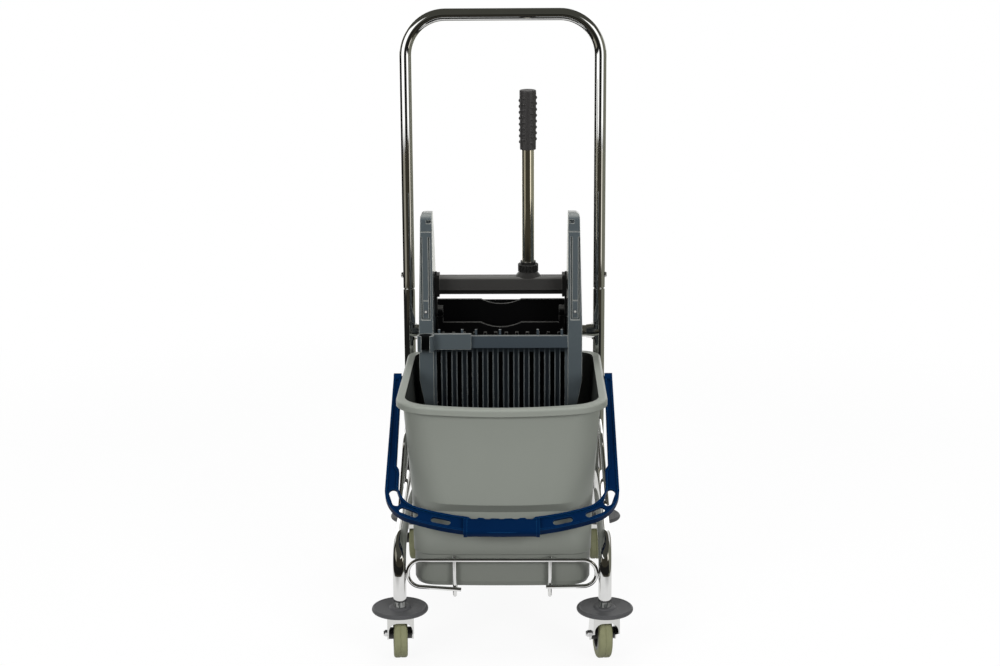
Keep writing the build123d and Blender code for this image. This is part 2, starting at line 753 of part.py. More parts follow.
bail_z = rim_z - BAIL_PIVOT_DROP
bail_y = rim_front + BAIL_PIVOT_BACK
flare_share = (bail_y - rim_front - RIM_BOW) / (rim_rear - rim_front - RIM_BOW)
bail_inner = rim_half + SIDE_FLARE * flare_share + BAIL_GAP
bail_outer = bail_inner + BAIL_ARM
bail_wide = bail_outer + BAIL_SPLAY


def bail_stud_bore(side):
    """Blind bore in the rim for a bail stud."""
    start = (side * (bail_inner - BAIL_GAP - BAIL_STUD_DEPTH), bail_y, bail_z)
    return rod(BAIL_STUD_D, start, (side * bail_outer, bail_y, bail_z))


def bail_stud(side):
    """Stud that the bail turns on; its head lies in the arm."""
    start = (side * (bail_inner - BAIL_GAP - BAIL_STUD_DEPTH), bail_y, bail_z)
    neck = (side * (bail_outer - BAIL_STUD_HEAD), bail_y, bail_z)
    end = (side * bail_outer, bail_y, bail_z)
    return rod(BAIL_STUD_D, start, neck) + rod(BAIL_STUD_HEAD_D, neck, end)


def bail_hang():
    """Angle below the level at which the bail hangs, a little above where it meets the bucket's front."""
    reach = BAIL_REACH - BAIL_BAND
    step_front = base_front - STEP_OUT
    front = [
        (wall_front, wall_top_z), (shoulder_front, bucket_z + SHOULDER_HEIGHT),
        (step_front, bucket_z + RECESS_HEIGHT), (step_front, bucket_z),
    ]
    far = [sqrt((y - bail_y) ** 2 + (z - bail_z) ** 2) for y, z in front]
    low = next(index for index in range(1, len(front)) if far[index] > reach)
    share = (reach - far[low - 1]) / (far[low] - far[low - 1])
    y = front[low - 1][0] + share * (front[low][0] - front[low - 1][0])
    z = front[low - 1][1] + share * (front[low][1] - front[low - 1][1])
    return degrees(atan2(bail_z - z, bail_y - y)) - BAIL_EASE


def bail_bow(top_half, half, reach, corner):
    """Flat outline of the bail: straight sides, rounded corners and a bowed end, pivot line at y = 0."""
    side_reach = reach - BAIL_BOW_R + sqrt(BAIL_BOW_R ** 2 - half ** 2)
    outline = make_face([
        Line((-top_half, 0), (-half, -side_reach)),
        ThreePointArc((-half, -side_reach), (0, -reach), (half, -side_reach)),
        Line((half, -side_reach), (top_half, 0)),
        Line((top_half, 0), (-top_half, 0)),
    ])
    ends = outline.vertices().group_by(Axis.Y)[0]
    return fillet(ends, corner)


def bail_ring(edge):
    """The bail's band, drawn in from both of its edges by an amount."""
    outer = bail_bow(bail_outer - edge, bail_wide - edge, BAIL_REACH - edge, BAIL_CORNER - edge)
    inner_half = bail_inner - BAIL_WIDE + edge
    inner = bail_bow(inner_half, inner_half, BAIL_REACH - BAIL_BAND + edge, BAIL_INNER_CORNER + edge)
    arm_half = bail_inner + edge
    narrow = BAIL_NARROW_LENGTH + edge
    between_arms = Polyline(
        (-arm_half, 0), (arm_half, 0), (arm_half, -narrow), (inner_half, -narrow - BAIL_BEVEL),
        (-inner_half, -narrow - BAIL_BEVEL), (-arm_half, -narrow), close=True,
    )
    return outer - inner - make_face(between_arms)


def bail_slots():
    """Three slots on each side: two round the lower corner and one on the bowed end."""
    bow_y = BAIL_BOW_R - BAIL_REACH
    corner_x = bail_wide - BAIL_CORNER
    corner_y = bow_y - sqrt((BAIL_BOW_R - BAIL_CORNER) ** 2 - corner_x ** 2)
    bow_r = BAIL_BOW_R - BAIL_SLOT_IN
    bow_angle = degrees(acos(BAIL_SLOT_OUT / bow_r))
    top_angle, low_angle = BAIL_SLOT_ANGLES
    places = [
        (corner_x, corner_y, BAIL_CORNER - BAIL_SLOT_TOP_IN, top_angle, BAIL_SLOT_TOP_W),
        (corner_x, corner_y, BAIL_CORNER - BAIL_SLOT_IN, low_angle, BAIL_SLOT_W),
        (0, bow_y, bow_r, bow_angle, BAIL_SLOT_W),
    ]
    slots = []
    for side in SIDES.values():
        for x, y, radius, angle, width in places:
            across = side * (x + radius * cos(radians(angle)))
            down = y - radius * sin(radians(angle))
            turn = Rot(0, 0, side * (90 - angle))
            slots.append(Pos(across, down) * turn * SlotOverall(BAIL_SLOT_LENGTH, width))
    return slots


def bail_grip():
    """Thicker grip in the middle of the bow with a collar round each end."""
    grip_y = -BAIL_REACH + BAIL_BAND / 2
    depth = BAIL_BAND + 2 * BAIL_GRIP_PROUD
    grip = Pos(0, grip_y, 0) * Box(BAIL_GRIP_LENGTH, depth, BAIL_GRIP)
    grip = fillet(grip.edges().filter_by(Axis.X), BAIL_GRIP_ROUND)
    for side in SIDES.values():
        collar = Pos(side * BAIL_GRIP_LENGTH / 2, grip_y, 0) * Box(
            BAIL_COLLAR, depth + 2 * BAIL_COLLAR_PROUD, BAIL_GRIP + 2 * BAIL_COLLAR_PROUD
        )
        grip += fillet(collar.edges().filter_by(Axis.X), BAIL_GRIP_ROUND)
    return grip


def finger_waves():
    """Round cutters along the inner edge of the grip."""
    pitch = (BAIL_GRIP_LENGTH - BAIL_COLLAR) / FINGER_WAVES
    finger_y = -BAIL_REACH + BAIL_BAND + BAIL_GRIP_PROUD + FINGER_R - FINGER_DEPTH
    places = [(index + 0.5 - FINGER_WAVES / 2) * pitch for index in range(FINGER_WAVES)]
    return [Pos(x, finger_y, 0) * Cylinder(FINGER_R, 2 * BAIL_GRIP) for x in places]


def bail_handle():
    """Moulded bow: two arms on the studs, slotted corners, edges that stand up and a grip."""
    bow = extrude(bail_ring(0), BAIL_PLATE / 2, both=True)
    pocket = extrude(bail_ring(BAIL_EDGE), BAIL_PLATE, both=True)
    bow -= pocket - extrude(bail_ring(0), BAIL_WEB / 2, both=True)
    for slot in bail_slots():
        bow -= extrude(slot, BAIL_PLATE, both=True)
    bow += bail_grip()
    for wave in finger_waves():
        bow -= wave
    for side in SIDES.values():
        bow += rod(BAIL_EYE_D, (side * bail_inner, 0, 0), (side * bail_outer, 0, 0))
        bow -= rod(BAIL_STUD_D + 2 * RUN_FIT, (side * bail_inner, 0, 0), (side * bail_outer, 0, 0))
        head_seat = side * (bail_outer - BAIL_STUD_HEAD - SWIVEL_GAP)
        bow -= rod(BAIL_STUD_HEAD_D + 2 * SWIVEL_GAP, (head_seat, 0, 0), (side * bail_wide, 0, 0))
    return Pos(0, bail_y, bail_z) * Rot(bail_hang(), 0, 0) * bow


nodes["bucket"] = bucket()
nodes["bail_handle"] = bail_handle()
for name, side in SIDES.items():
    nodes["bail_stud_" + name] = bail_stud(side)


# Wringer frame: two cheeks joined by the beam, the grille, the rear plate and the floor.
# Its pieces are drawn about the wringer's own middle and moved sideways at the end.

wringer = {}
cheek_mid = cheek_inner + CHEEK_W / 2
cheek_top_z = cross_z + CHEEK_RISE
beam_back_y = cheek_front_y + BEAM_DEPTH
grille_back_y = grille_front_y + GRILLE_DEPTH
bar_half = cheek_inner - CRANK_GAP - CRANK_T
journal_end = bar_half + CRANK_T + JOURNAL_LENGTH


def cheek_outline():
    """Side view of a cheek: upright at the front, rounded and sloping at the top, square below."""
    top_back = (cheek_front_y + CHEEK_TOP_DEPTH, cheek_top_z)
    shoulder = (cheek_rear_y, cross_z + CHEEK_SHOULDER_RISE)
    chord = Vector(*shoulder) - Vector(*top_back)
    bulge = (Vector(*top_back) + Vector(*shoulder)) / 2 + Vector(-chord.Y, chord.X).normalized() * CHEEK_BULGE
    front_top = cheek_top_z - CHEEK_TOP_ROUND
    corner = CHEEK_TOP_ROUND * (1 - sqrt(0.5))
    return make_face([
        Line((cheek_front_y, wringer_low_z), (cheek_front_y, front_top)),
        ThreePointArc(
            (cheek_front_y, front_top), (cheek_front_y + corner, cheek_top_z - corner),
            (cheek_front_y + CHEEK_TOP_ROUND, cheek_top_z),
        ),
        Line((cheek_front_y + CHEEK_TOP_ROUND, cheek_top_z), top_back),
        ThreePointArc(top_back, (bulge.X, bulge.Y), shoulder),
        Line(shoulder, (cheek_rear_y, wringer_low_z)),
        Line((cheek_rear_y, wringer_low_z), (cheek_front_y, wringer_low_z)),
    ])


def guide_slot():
    """Curved slot in which a lower peg of the press plate travels."""
    centre = (lever_y, lever_z - (pin_z - peg_z))
    start = -90 + CRANK_TILT
    track = CenterArc(centre, CRANK_RADIUS, start, -LEVER_SWING)
    return SlotArc(track, GUIDE_PEG_D + 2 * GUIDE_GAP)


def cheek_trim(points):
    """Cutter through the depth of a cheek, from corners given as x and z."""
    return extrude(Plane.XZ.offset(-cheek_rear_y) * make_face(Polyline(*points, close=True)), CHEEK_DEPTH)


def cheek_cap_trim():
    """Cutter that leans the outer face in towards the top and rounds its upper corner."""
    lean_x = wringer_half - CHEEK_TOP_TAPER
    round_z = cheek_top_z - CHEEK_CAP_ROUND
    round_x = lean_x - CHEEK_CAP_ROUND
    corner = CHEEK_CAP_ROUND * sqrt(0.5)
    clear_x = wringer_half + CHEEK_RIM
    clear_z = cheek_top_z + CHEEK_RIM
    low_z = cross_z + CHEEK_TAPER_RISE
    outline = make_face([
        Line((wringer_half, low_z), (lean_x, round_z)),
        ThreePointArc((lean_x, round_z), (round_x + corner, round_z + corner), (round_x, cheek_top_z)),
        Line((round_x, cheek_top_z), (round_x, clear_z)),
        Line((round_x, clear_z), (clear_x, clear_z)),
        Line((clear_x, clear_z), (clear_x, low_z)),
        Line((clear_x, low_z), (wringer_half, low_z)),
    ])
    return extrude(Plane.XZ.offset(-cheek_rear_y) * outline, CHEEK_DEPTH)


def cheek_front_relief():
    """Cutters in the front edge of a cheek: grooves round a long panel, two seams and a square hole."""
    clear_y = cheek_front_y - CHEEK_RIM
    groove = block(
        cheek_mid - STRIP_W / 2, cheek_mid + STRIP_W / 2, clear_y, cheek_front_y + STRIP_DEPTH,
        cross_z + STRIP_LOW, cross_z + STRIP_HIGH,
    )
    groove -= block(
        cheek_mid - STRIP_PANEL_W / 2, cheek_mid + STRIP_PANEL_W / 2, clear_y, cheek_front_y + STRIP_DEPTH,
        cross_z + STRIP_PANEL_LOW, cross_z + STRIP_HIGH,
    )
    seams = []
    for seam_z, half in ((cross_z + SEAM_RISE, CHEEK_W), (cross_z + STRIP_SEAM_RISE, STRIP_W / 2)):
        seams.append(block(
            cheek_mid - half, cheek_mid + half, clear_y, cheek_front_y + SEAM, seam_z, seam_z + SEAM
        ))
    hole_x = cheek_mid - TOP_HOLE_IN
    hole_z = cross_z + TOP_HOLE_RISE
    hole = block(
        hole_x - TOP_HOLE_W / 2, hole_x + TOP_HOLE_W / 2, clear_y, cheek_front_y + CHEEK_RIM + STRIP_DEPTH,
        hole_z - TOP_HOLE_HEIGHT / 2, hole_z + TOP_HOLE_HEIGHT / 2,
    )
    return groove, *seams, hole


def cheek(side):
    """Moulded cheek: an inner web with a deep border and ribs, open to the outside."""
    body = side_slab(cheek_outline(), cheek_inner, wringer_half)
    pocket = side_slab(offset(cheek_outline(), -CHEEK_RIM), cheek_inner + CHEEK_WEB, wringer_half + CHEEK_RIM)
    for index in range(1, CHEEK_RIBS + 1):
        z = wringer_low_z + (cheek_top_z - wringer_low_z) * index / (CHEEK_RIBS + 1)
        pocket -= block(0, wringer_half, cheek_front_y, cheek_rear_y, z - CHEEK_RIB / 2, z + CHEEK_RIB / 2)
    pocket -= rod(JOURNAL_BOSS_D, (0, lever_y, lever_z), (journal_end + CHEEK_WEB, lever_y, lever_z))
    body -= pocket
    body -= cheek_trim([
        (wringer_half, wringer_low_z), (wringer_half, wringer_low_z + CHEEK_FOOT_HEIGHT),
        (wringer_half - CHEEK_FOOT_TAPER, wringer_low_z),
    ])
    body -= cheek_cap_trim()
    for cutter in cheek_front_relief():
        body -= cutter
    body -= cheek_screw_bore()
    body -= rod(JOURNAL_D + 2 * RUN_FIT, (0, lever_y, lever_z), (journal_end + CRANK_GAP, lever_y, lever_z))
    body -= side_slab(guide_slot(), 0, cheek_inner + CHEEK_WEB)
    return body if side > 0 else mirror(body, Plane.YZ)


def cheek_screw_bore():
    """Bore of the screw in the lower block of a cheek's front edge."""
    z = cross_z + CHEEK_SCREW_RISE
    tip_y = cheek_front_y + CHEEK_SCREW_LENGTH
    return rod(CHEEK_SCREW_D, (cheek_mid, cheek_front_y, z), (cheek_mid, tip_y, z))


def cheek_screw(side):
    """Pan headed screw in the front edge of a cheek."""
    z = cross_z + CHEEK_SCREW_RISE
    head_front = (cheek_mid, cheek_front_y - CHEEK_SCREW_HEAD, z)
    screw = cheek_screw_bore() + rod(CHEEK_SCREW_HEAD_D, head_front, (cheek_mid, cheek_front_y, z))
    return screw if side > 0 else mirror(screw, Plane.YZ)


def hook(side):
    """Plate hook behind a cheek: it sits on the rear cross tube and reaches down behind it."""
    seat_z = cross_z + tube_r + HOOK_FIT
    back = upright_y + tube_r + HOOK_FIT
    outline = Polyline(
        (cheek_rear_y, seat_z), (back, seat_z), (back, cross_z - HOOK_TAIL),
        (back + HOOK_WALL, cross_z - HOOK_TAIL), (back + HOOK_WALL, seat_z + HOOK_BEVEL),
        (back, seat_z + HOOK_WALL + HOOK_BEVEL), (cheek_rear_y, cross_z + HOOK_ROOT), close=True,
    )
    middle = side * cheek_mid
    return side_slab(make_face(outline), middle - HOOK_W / 2, middle + HOOK_W / 2)


def front_beam():
    """Bar across the front between the cheeks, with short pegs along its top."""
    bar = block(-cheek_inner, cheek_inner, cheek_front_y, beam_back_y, beam_low_z, beam_top_z)
    bar = fillet(bar.edges().filter_by(Axis.X).group_by(Axis.Y)[0], BEAM_ROUND)
    peg_y = (cheek_front_y + beam_back_y) / 2
    for share in PEG_SHARES:
        x = share * (cheek_inner - PEG_D)
        bar += rod(PEG_D, (x, peg_y, beam_top_z), (x, peg_y, beam_top_z + PEG_HEIGHT))
    return bar


def front_grille():
    """Thin upright walls under the beam, with open slots and deep grooves between them by turns."""
    panel = block(-cheek_inner, cheek_inner, grille_front_y, grille_back_y, wringer_low_z, beam_low_z)
    pitch = 2 * cheek_inner / GRILLE_SLOTS
    low = wringer_low_z + GRILLE_RAIL
    high = beam_low_z - GRILLE_RAIL
    slot_half = GRILLE_SLOT_W / 2
    groove_half = pitch / 2 - slot_half - GRILLE_WALL
    groove_y = grille_front_y + GRILLE_GROOVE
    for index in range(GRILLE_SLOTS):
        x = (index + 0.5) * pitch - cheek_inner
        panel -= block(x - slot_half, x + slot_half, grille_front_y, grille_back_y, low, high)
        panel -= block(x - slot_half, x + slot_half, grille_front_y, groove_y, high, beam_low_z)
    for index in range(1, GRILLE_SLOTS):
        x = index * pitch - cheek_inner
        panel -= block(x - groove_half, x + groove_half, grille_front_y, groove_y, low, beam_low_z)
    return panel


def dipped_panel(half, low, high):
    """Front view of a plate whose top edge dips in the middle."""
    dip = PLATE_DIP_W / 2
    return make_face([
        Line((-half, low), (half, low)),
        Line((half, low), (half, high)),
        Line((half, high), (dip, high)),
        ThreePointArc((dip, high), (0, high - PLATE_DIP), (-dip, high)),
        Line((-dip, high), (-half, high)),
        Line((-half, high), (-half, low)),
    ])


def rear_plate():
    """Fixed back of the press: its dip goes half through, and it is slotted below for the water."""
    panel = Plane.XZ.offset(-rear_plate_y - REAR_PLATE_T) * dipped_panel(
        cheek_inner, wringer_low_z, cross_z + REAR_PLATE_RISE
    )
    plate = extrude(panel, REAR_PLATE_T)
    dip_back_z = cross_z + REAR_PLATE_RISE - REAR_PLATE_BACK_DROP
    plate += block(
        -PLATE_DIP_W / 2, PLATE_DIP_W / 2, rear_plate_y + REAR_PLATE_T / 2, rear_plate_y + REAR_PLATE_T,
        dip_back_z - 2 * PLATE_DIP, dip_back_z,
    )
    pitch = 2 * cheek_inner / DRAIN_SLOTS
    low = wringer_low_z + FLOOR_T + DRAIN_EDGE
    for index in range(DRAIN_SLOTS):
        x = (index + 0.5) * pitch - cheek_inner
        plate -= block(
            x - DRAIN_SLOT_W / 2, x + DRAIN_SLOT_W / 2, rear_plate_y, cheek_rear_y, low, cross_z - DRAIN_EDGE
        )
    return plate


def drain_floor():
    """Slotted floor of the press between the grille and the rear plate."""
    plate = block(
        -cheek_inner, cheek_inner, grille_back_y, rear_plate_y, wringer_low_z, wringer_low_z + FLOOR_T
    )
    pitch = 2 * cheek_inner / DRAIN_SLOTS
    for index in range(DRAIN_SLOTS):
        x = (index + 0.5) * pitch - cheek_inner
        plate -= block(
            x - DRAIN_SLOT_W / 2, x + DRAIN_SLOT_W / 2, grille_back_y + DRAIN_EDGE, rear_plate_y - DRAIN_EDGE,
            wringer_low_z, wringer_low_z + FLOOR_T,
        )
    return plate


for name, side in SIDES.items():
    wringer["cheek_" + name] = cheek(side)
    wringer["hook_" + name] = hook(side)
wringer["cheek_screws"] = Compound([cheek_screw(side) for side in SIDES.values()])
wringer["front_beam"] = front_beam()
wringer["front_grille"] = front_grille()
wringer["rear_plate"] = rear_plate()
wringer["drain_floor"] = drain_floor()


# Mop clip: a spring ring for the handle of a mop, on a bracket fixed to the front of the beam

def mop_clip():
    """Bracket and open ring, moulded in one."""
    ring_r = CLIP_BORE_D / 2 + CLIP_WALL
    x = -cheek_mid
    y = cheek_front_y - ring_r - CLIP_GAP
    high = beam_top_z + CLIP_OVER
    low = high - CLIP_HEIGHT
    clip = block(x, -CLIP_BRACKET_END, cheek_front_y - CLIP_BRACKET_T, cheek_front_y, low, high)
    clip += rod(2 * ring_r, (x, y, low), (x, y, high))
    clip -= rod(CLIP_BORE_D, (x, y, low), (x, y, high))
    clip -= block(x - CLIP_MOUTH / 2, x + CLIP_MOUTH / 2, y - 2 * ring_r, y, low, high)
    return clip


wringer["mop_clip"] = mop_clip()


# Press lever: crossbar with crank arms, collar nut, tube and grip

lever_place = Pos(0, lever_y, lever_z) * Rot(LEVER_LEAN, 0, 0)


def along_lever(diameter, start, end):
    """A round bar on the lever's own line, measured from the lever's axis."""
    return rod(diameter, (LEVER_OFFSET, 0, start), (LEVER_OFFSET, 0, end))


socket_top = BAR_HEIGHT / 2 + SOCKET_HEIGHT
collar_top = socket_top + COLLAR_HEIGHT
ring_top = collar_top + COLLAR_RING


def crank(side):
    """Arm from the crossbar's end down to the pin of the press plate, with the journal outside it."""
    reach = CRANK_RADIUS + CRANK_TOP - CRANK_END_R
    turn = -90 + CRANK_TILT
    arm = Pos(lever_y, lever_z) * Rot(0, 0, turn)
    arm *= Pos(reach / 2 - CRANK_TOP + CRANK_END_R, 0) * SlotCenterToCenter(reach, 2 * CRANK_END_R)
    plate = side_slab(arm, bar_half, bar_half + CRANK_T)
    plate += rod(JOURNAL_D, (bar_half, lever_y, lever_z), (journal_end, lever_y, lever_z))
    plate -= rod(PLATE_PIN_D, (0, pin_y, pin_z), (wringer_half, pin_y, pin_z))
    return plate if side > 0 else mirror(plate, Plane.YZ)


def press_crossbar():
    """Moulded crossbar with a narrower lower lip, end flanges and a socket for the lever tube."""
    section = RectangleRounded(BAR_DEPTH, BAR_HEIGHT, BAR_ROUND)
    bar = extrude(Plane.YZ.offset(-bar_half) * section, 2 * bar_half)
    lip_half = BAR_DEPTH / 2 - BAR_LIP_BACK
    lip_top = BAR_LIP - BAR_HEIGHT / 2
    for ends in ((-BAR_DEPTH, -lip_half), (lip_half, BAR_DEPTH)):
        bar -= block(-bar_half, bar_half, *ends, -BAR_HEIGHT, lip_top)
    flange = RectangleRounded(FLANGE_DEPTH, FLANGE_HEIGHT, BAR_ROUND)
    flange_end = bar_half + CRANK_T
    for start in (-flange_end, flange_end - FLANGE_W):
        bar += extrude(Plane.YZ.offset(start) * flange, FLANGE_W)
    foot = Pos(LEVER_OFFSET, 0, BAR_HEIGHT / 2 - BAR_ROUND / 2) * Ellipse(SOCKET_BASE_W / 2, BAR_DEPTH / 2)
    top = Pos(LEVER_OFFSET, 0, socket_top) * Circle(SOCKET_TOP_D / 2)
    bar += loft([foot, top])
    bar -= along_lever(LEVER_TUBE_D, SOCKET_FLOOR, socket_top)
    return lever_place * bar + crank(-1) + crank(1)


def collar_nut():
    """Ribbed nut with a smaller ring on top that clamps the lever tube in its socket."""
    nut = along_lever(COLLAR_D, socket_top, collar_top) + along_lever(COLLAR_RING_D, collar_top, ring_top)
    nut -= along_lever(LEVER_TUBE_D, socket_top, ring_top)
    for index in range(COLLAR_GROOVES):
        angle = radians(360 * index / COLLAR_GROOVES)
        x = LEVER_OFFSET + COLLAR_D / 2 * cos(angle)
        y = COLLAR_D / 2 * sin(angle)
        nut -= rod(COLLAR_GROOVE_D, (x, y, socket_top), (x, y, collar_top))
    return lever_place * nut


def lever_tube():
    """Chromed tube from the socket up into the grip."""
    top = LEVER_LENGTH - GRIP_CAP
    bore = LEVER_TUBE_D - 2 * LEVER_TUBE_WALL
    return lever_place * (along_lever(LEVER_TUBE_D, SOCKET_FLOOR, top) - along_lever(bore, SOCKET_FLOOR, top))


def lever_grip():
    """Sleeve with a closed end, pushed over the tube and a little narrower at its foot."""
    low = LEVER_LENGTH - GRIP_LENGTH
    middle = LEVER_LENGTH - GRIP_LENGTH / 2
    grip = Pos(LEVER_OFFSET, 0, middle) * Cone(GRIP_FOOT_D / 2, GRIP_D / 2, GRIP_LENGTH)
    grip = fillet(grip.edges().sort_by(Axis.Z)[-1], GRIP_ROUND)
    return lever_place * (grip - along_lever(LEVER_TUBE_D, low, LEVER_LENGTH - GRIP_CAP))


# Press plate that hangs on two pins in the cranks and squeezes the mop against the grille

plate_half = bar_half - PLATE_SIDE_GAP


def plate_pin(side):
    """Pin through a crank and an ear of the press plate."""
    return rod(PLATE_PIN_D, (side * (plate_half - PLATE_EAR_W), pin_y, pin_z),
               (side * (bar_half + CRANK_T), pin_y, pin_z))


def press_plate():
    """Ribbed plate with an ear at each end and a peg that the cheek guides."""
    back = pin_y + PLATE_T / 2
    top = pin_z - PLATE_TOP_DROP
    plate = extrude(Plane.XZ.offset(-back) * dipped_panel(plate_half, plate_low_z, top), PLATE_T)
    front = back - PLATE_T
    pitch = 2 * plate_half / PLATE_RIBS
    for index in range(PLATE_RIBS):
        x = (index + 0.5) * pitch - plate_half
        plate += block(
            x - PLATE_RIB_W / 2, x + PLATE_RIB_W / 2, front - PLATE_RIB, front,
            plate_low_z, top - PLATE_DIP * 2,
        )
    for side in SIDES.values():
        inner = side * (plate_half - PLATE_EAR_W)
        outer = side * plate_half
        ends = sorted((inner, outer))
        plate += rod(2 * PLATE_EAR_R, (inner, pin_y, pin_z), (outer, pin_y, pin_z))
        plate += block(*ends, front, back, top - PLATE_EAR_R, pin_z)
        plate -= rod(PLATE_PIN_D + 2 * RUN_FIT, (inner, pin_y, pin_z), (outer, pin_y, pin_z))
        peg_end = side * (cheek_inner + CHEEK_WEB - GUIDE_GAP)
        plate += rod(GUIDE_PEG_D, (inner, pin_y, peg_z), (peg_end, pin_y, peg_z))
    return plate


wringer["press_crossbar"] = press_crossbar()
wringer["collar_nut"] = collar_nut()
wringer["lever_tube"] = lever_tube()
wringer["lever_grip"] = lever_grip()
wringer["plate_pins"] = Compound([plate_pin(side) for side in SIDES.values()])
wringer["press_plate"] = press_plate()
for name, shape in wringer.items():
    nodes[name] = Pos(WRINGER_X, 0, 0) * shape


os.makedirs("parts", exist_ok=True)
for name, shape in nodes.items():
    export_step(shape, f"parts/{name}.step")
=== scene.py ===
import json
import math

import bpy
from mathutils import Matrix, Vector


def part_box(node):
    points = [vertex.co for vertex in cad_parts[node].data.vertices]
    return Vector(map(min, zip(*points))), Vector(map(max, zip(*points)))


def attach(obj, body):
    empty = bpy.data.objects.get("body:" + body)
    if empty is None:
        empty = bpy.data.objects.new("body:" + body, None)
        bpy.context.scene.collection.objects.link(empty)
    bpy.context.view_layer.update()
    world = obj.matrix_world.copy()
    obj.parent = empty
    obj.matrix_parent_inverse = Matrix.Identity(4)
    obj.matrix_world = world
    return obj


# A mop bucket trolley: a chromed tube frame on four bumper casters carries a grey bucket
# with a blue bail, and a lever wringer hangs in the bucket from the rear cross tube.
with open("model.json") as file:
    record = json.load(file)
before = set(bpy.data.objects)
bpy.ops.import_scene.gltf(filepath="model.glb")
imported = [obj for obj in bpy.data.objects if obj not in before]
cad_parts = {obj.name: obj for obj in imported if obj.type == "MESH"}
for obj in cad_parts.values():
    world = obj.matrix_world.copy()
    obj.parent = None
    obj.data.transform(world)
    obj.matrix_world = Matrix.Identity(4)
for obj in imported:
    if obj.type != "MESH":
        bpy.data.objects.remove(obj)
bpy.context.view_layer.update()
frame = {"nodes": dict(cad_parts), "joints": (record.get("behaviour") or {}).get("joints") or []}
nodes = frame["nodes"]


# Chromed tube frame: side arches, uprights, push handle and rear cross tube.
# Bent from polished steel tube, welded where they meet and plated bright.
# The push handle slips over plugs in the uprights.

class Value:
    """A socket of a node tree; arithmetic on it adds Math nodes."""

    def __init__(self, owner, socket):
        self.owner = owner
        self.socket = socket

    def math(self, operation, *others):
        terms = dict(enumerate((self, *others)))
        return self.owner.node("ShaderNodeMath", {"operation": operation}, terms)

    def __add__(self, other):
        return self.math("ADD", other)

    __radd__ = __add__

    def __sub__(self, other):
        return self.math("SUBTRACT", other)

    def __rsub__(self, other):
        return (self * -1.0) + other

    def __mul__(self, other):
        return self.math("MULTIPLY", other)

    __rmul__ = __mul__

    def __truediv__(self, other):
        return self.math("DIVIDE", other)

    def rise(self, low, high):
        """0 below low, 1 above high, and smooth between them."""
        ends = {"Value": self, "From Min": low, "From Max": high}
        return self.owner.node("ShaderNodeMapRange", {"interpolation_type": "SMOOTHSTEP"}, ends)


class NodeTree:
    """Nodes of one tree, added from their type, settings and inputs."""

    def __init__(self, tree):
        self.tree = tree

    def fill(self, socket, value):
        if isinstance(value, Value):
            self.tree.links.new(value.socket, socket)
        else:
            socket.default_value = value

    def node(self, kind, settings, inputs, output=0):
        """One node: its settings first, then the values or links of its sockets."""
        made = self.tree.nodes.new(kind)
        for key, value in settings.items():
            setattr(made, key, value)
        for key, value in inputs.items():
            self.fill(made.inputs[key], value)
        return Value(self, made.outputs[output])


class Finish(NodeTree):
    """A material built on one Principled shader, with its patterns on Object coordinates."""

    # numbers of the Mix node's factor, its two colours and its mixed colour
    MIX_SHARE, MIX_FIRST, MIX_SECOND, MIX_RESULT = 0, 6, 7, 2
    BEVEL_SAMPLES = 8
    EDGE_TURN = (0.01, 0.12)
    UPWARD = (0.2, 0.75)

    def __init__(self, name):
        self.material = bpy.data.materials.new(name)
        self.material.use_nodes = True
        super().__init__(self.material.node_tree)
        self.shader = self.tree.nodes["Principled BSDF"]
        self.place = self.node("ShaderNodeTexCoord", {}, {}, "Object")

    def noise(self, scale, detail=3.0, stretch=(1.0, 1.0, 1.0)):
        """Cloudy pattern from 0 to 1; scale is in patches per metre."""
        place = self.node("ShaderNodeMapping", {}, {"Vector": self.place, "Scale": stretch})
        return self.node("ShaderNodeTexNoise", {}, {"Vector": place, "Scale": scale, "Detail": detail})

    def axis(self, letter):
        """Distance from the origin along X, Y or Z."""
        return self.node("ShaderNodeSeparateXYZ", {}, {"Vector": self.place}, letter)

    def mix(self, share, first, second):
        """Colour between two colours; a plain triple gets its fourth number here."""
        colours = [value if isinstance(value, Value) else (*value, 1.0) for value in (first, second)]
        sockets = {self.MIX_SHARE: share, self.MIX_FIRST: colours[0], self.MIX_SECOND: colours[1]}
        return self.node("ShaderNodeMix", {"data_type": "RGBA"}, sockets, self.MIX_RESULT)

    def relief(self, height, depth, edge=0.0):
        """Fine grain from a height of 0 to 1, on edges that are rounded by a small radius."""
        sockets = {"Height": height, "Distance": depth, "Strength": 1.0}
        if edge:
            self.rounded = self.node("ShaderNodeBevel", {"samples": self.BEVEL_SAMPLES}, {"Radius": edge})
            sockets["Normal"] = self.rounded
        self.fill(self.shader.inputs["Normal"], self.node("ShaderNodeBump", {}, sockets))

    def on_edge(self):
        """1 along the edges that relief has rounded and 0 on the faces between them."""
        flat = self.node("ShaderNodeNewGeometry", {}, {}, "Normal")
        both = {0: self.rounded, 1: flat}
        alike = self.node("ShaderNodeVectorMath", {"operation": "DOT_PRODUCT"}, both, "Value")
        return (1 - alike).rise(*self.EDGE_TURN)

    def faces_up(self):
        """1 on what faces up, the rounded upper edges among it, and 0 on upright and lower faces."""
        change = {"vector_type": "NORMAL", "convert_from": "WORLD", "convert_to": "OBJECT"}
        own = self.node("ShaderNodeVectorTransform", change, {"Vector": self.rounded})
        return self.node("ShaderNodeSeparateXYZ", {}, {"Vector": own}, "Z").rise(*self.UPWARD)

    def set(self, **sockets):
        """Sockets of the shader by name, with underscores for spaces."""
        for key, value in sockets.items():
            self.fill(self.shader.inputs[key.replace("_", " ")], value)


def dress(finish, *names):
    """Gives a finish to whole nodes of the frame."""
    for name in names:
        for slot in nodes[name].material_slots:
            slot.material = finish.material


HAZE_DULL = 0.86
HAZE_ROUGH = 0.05


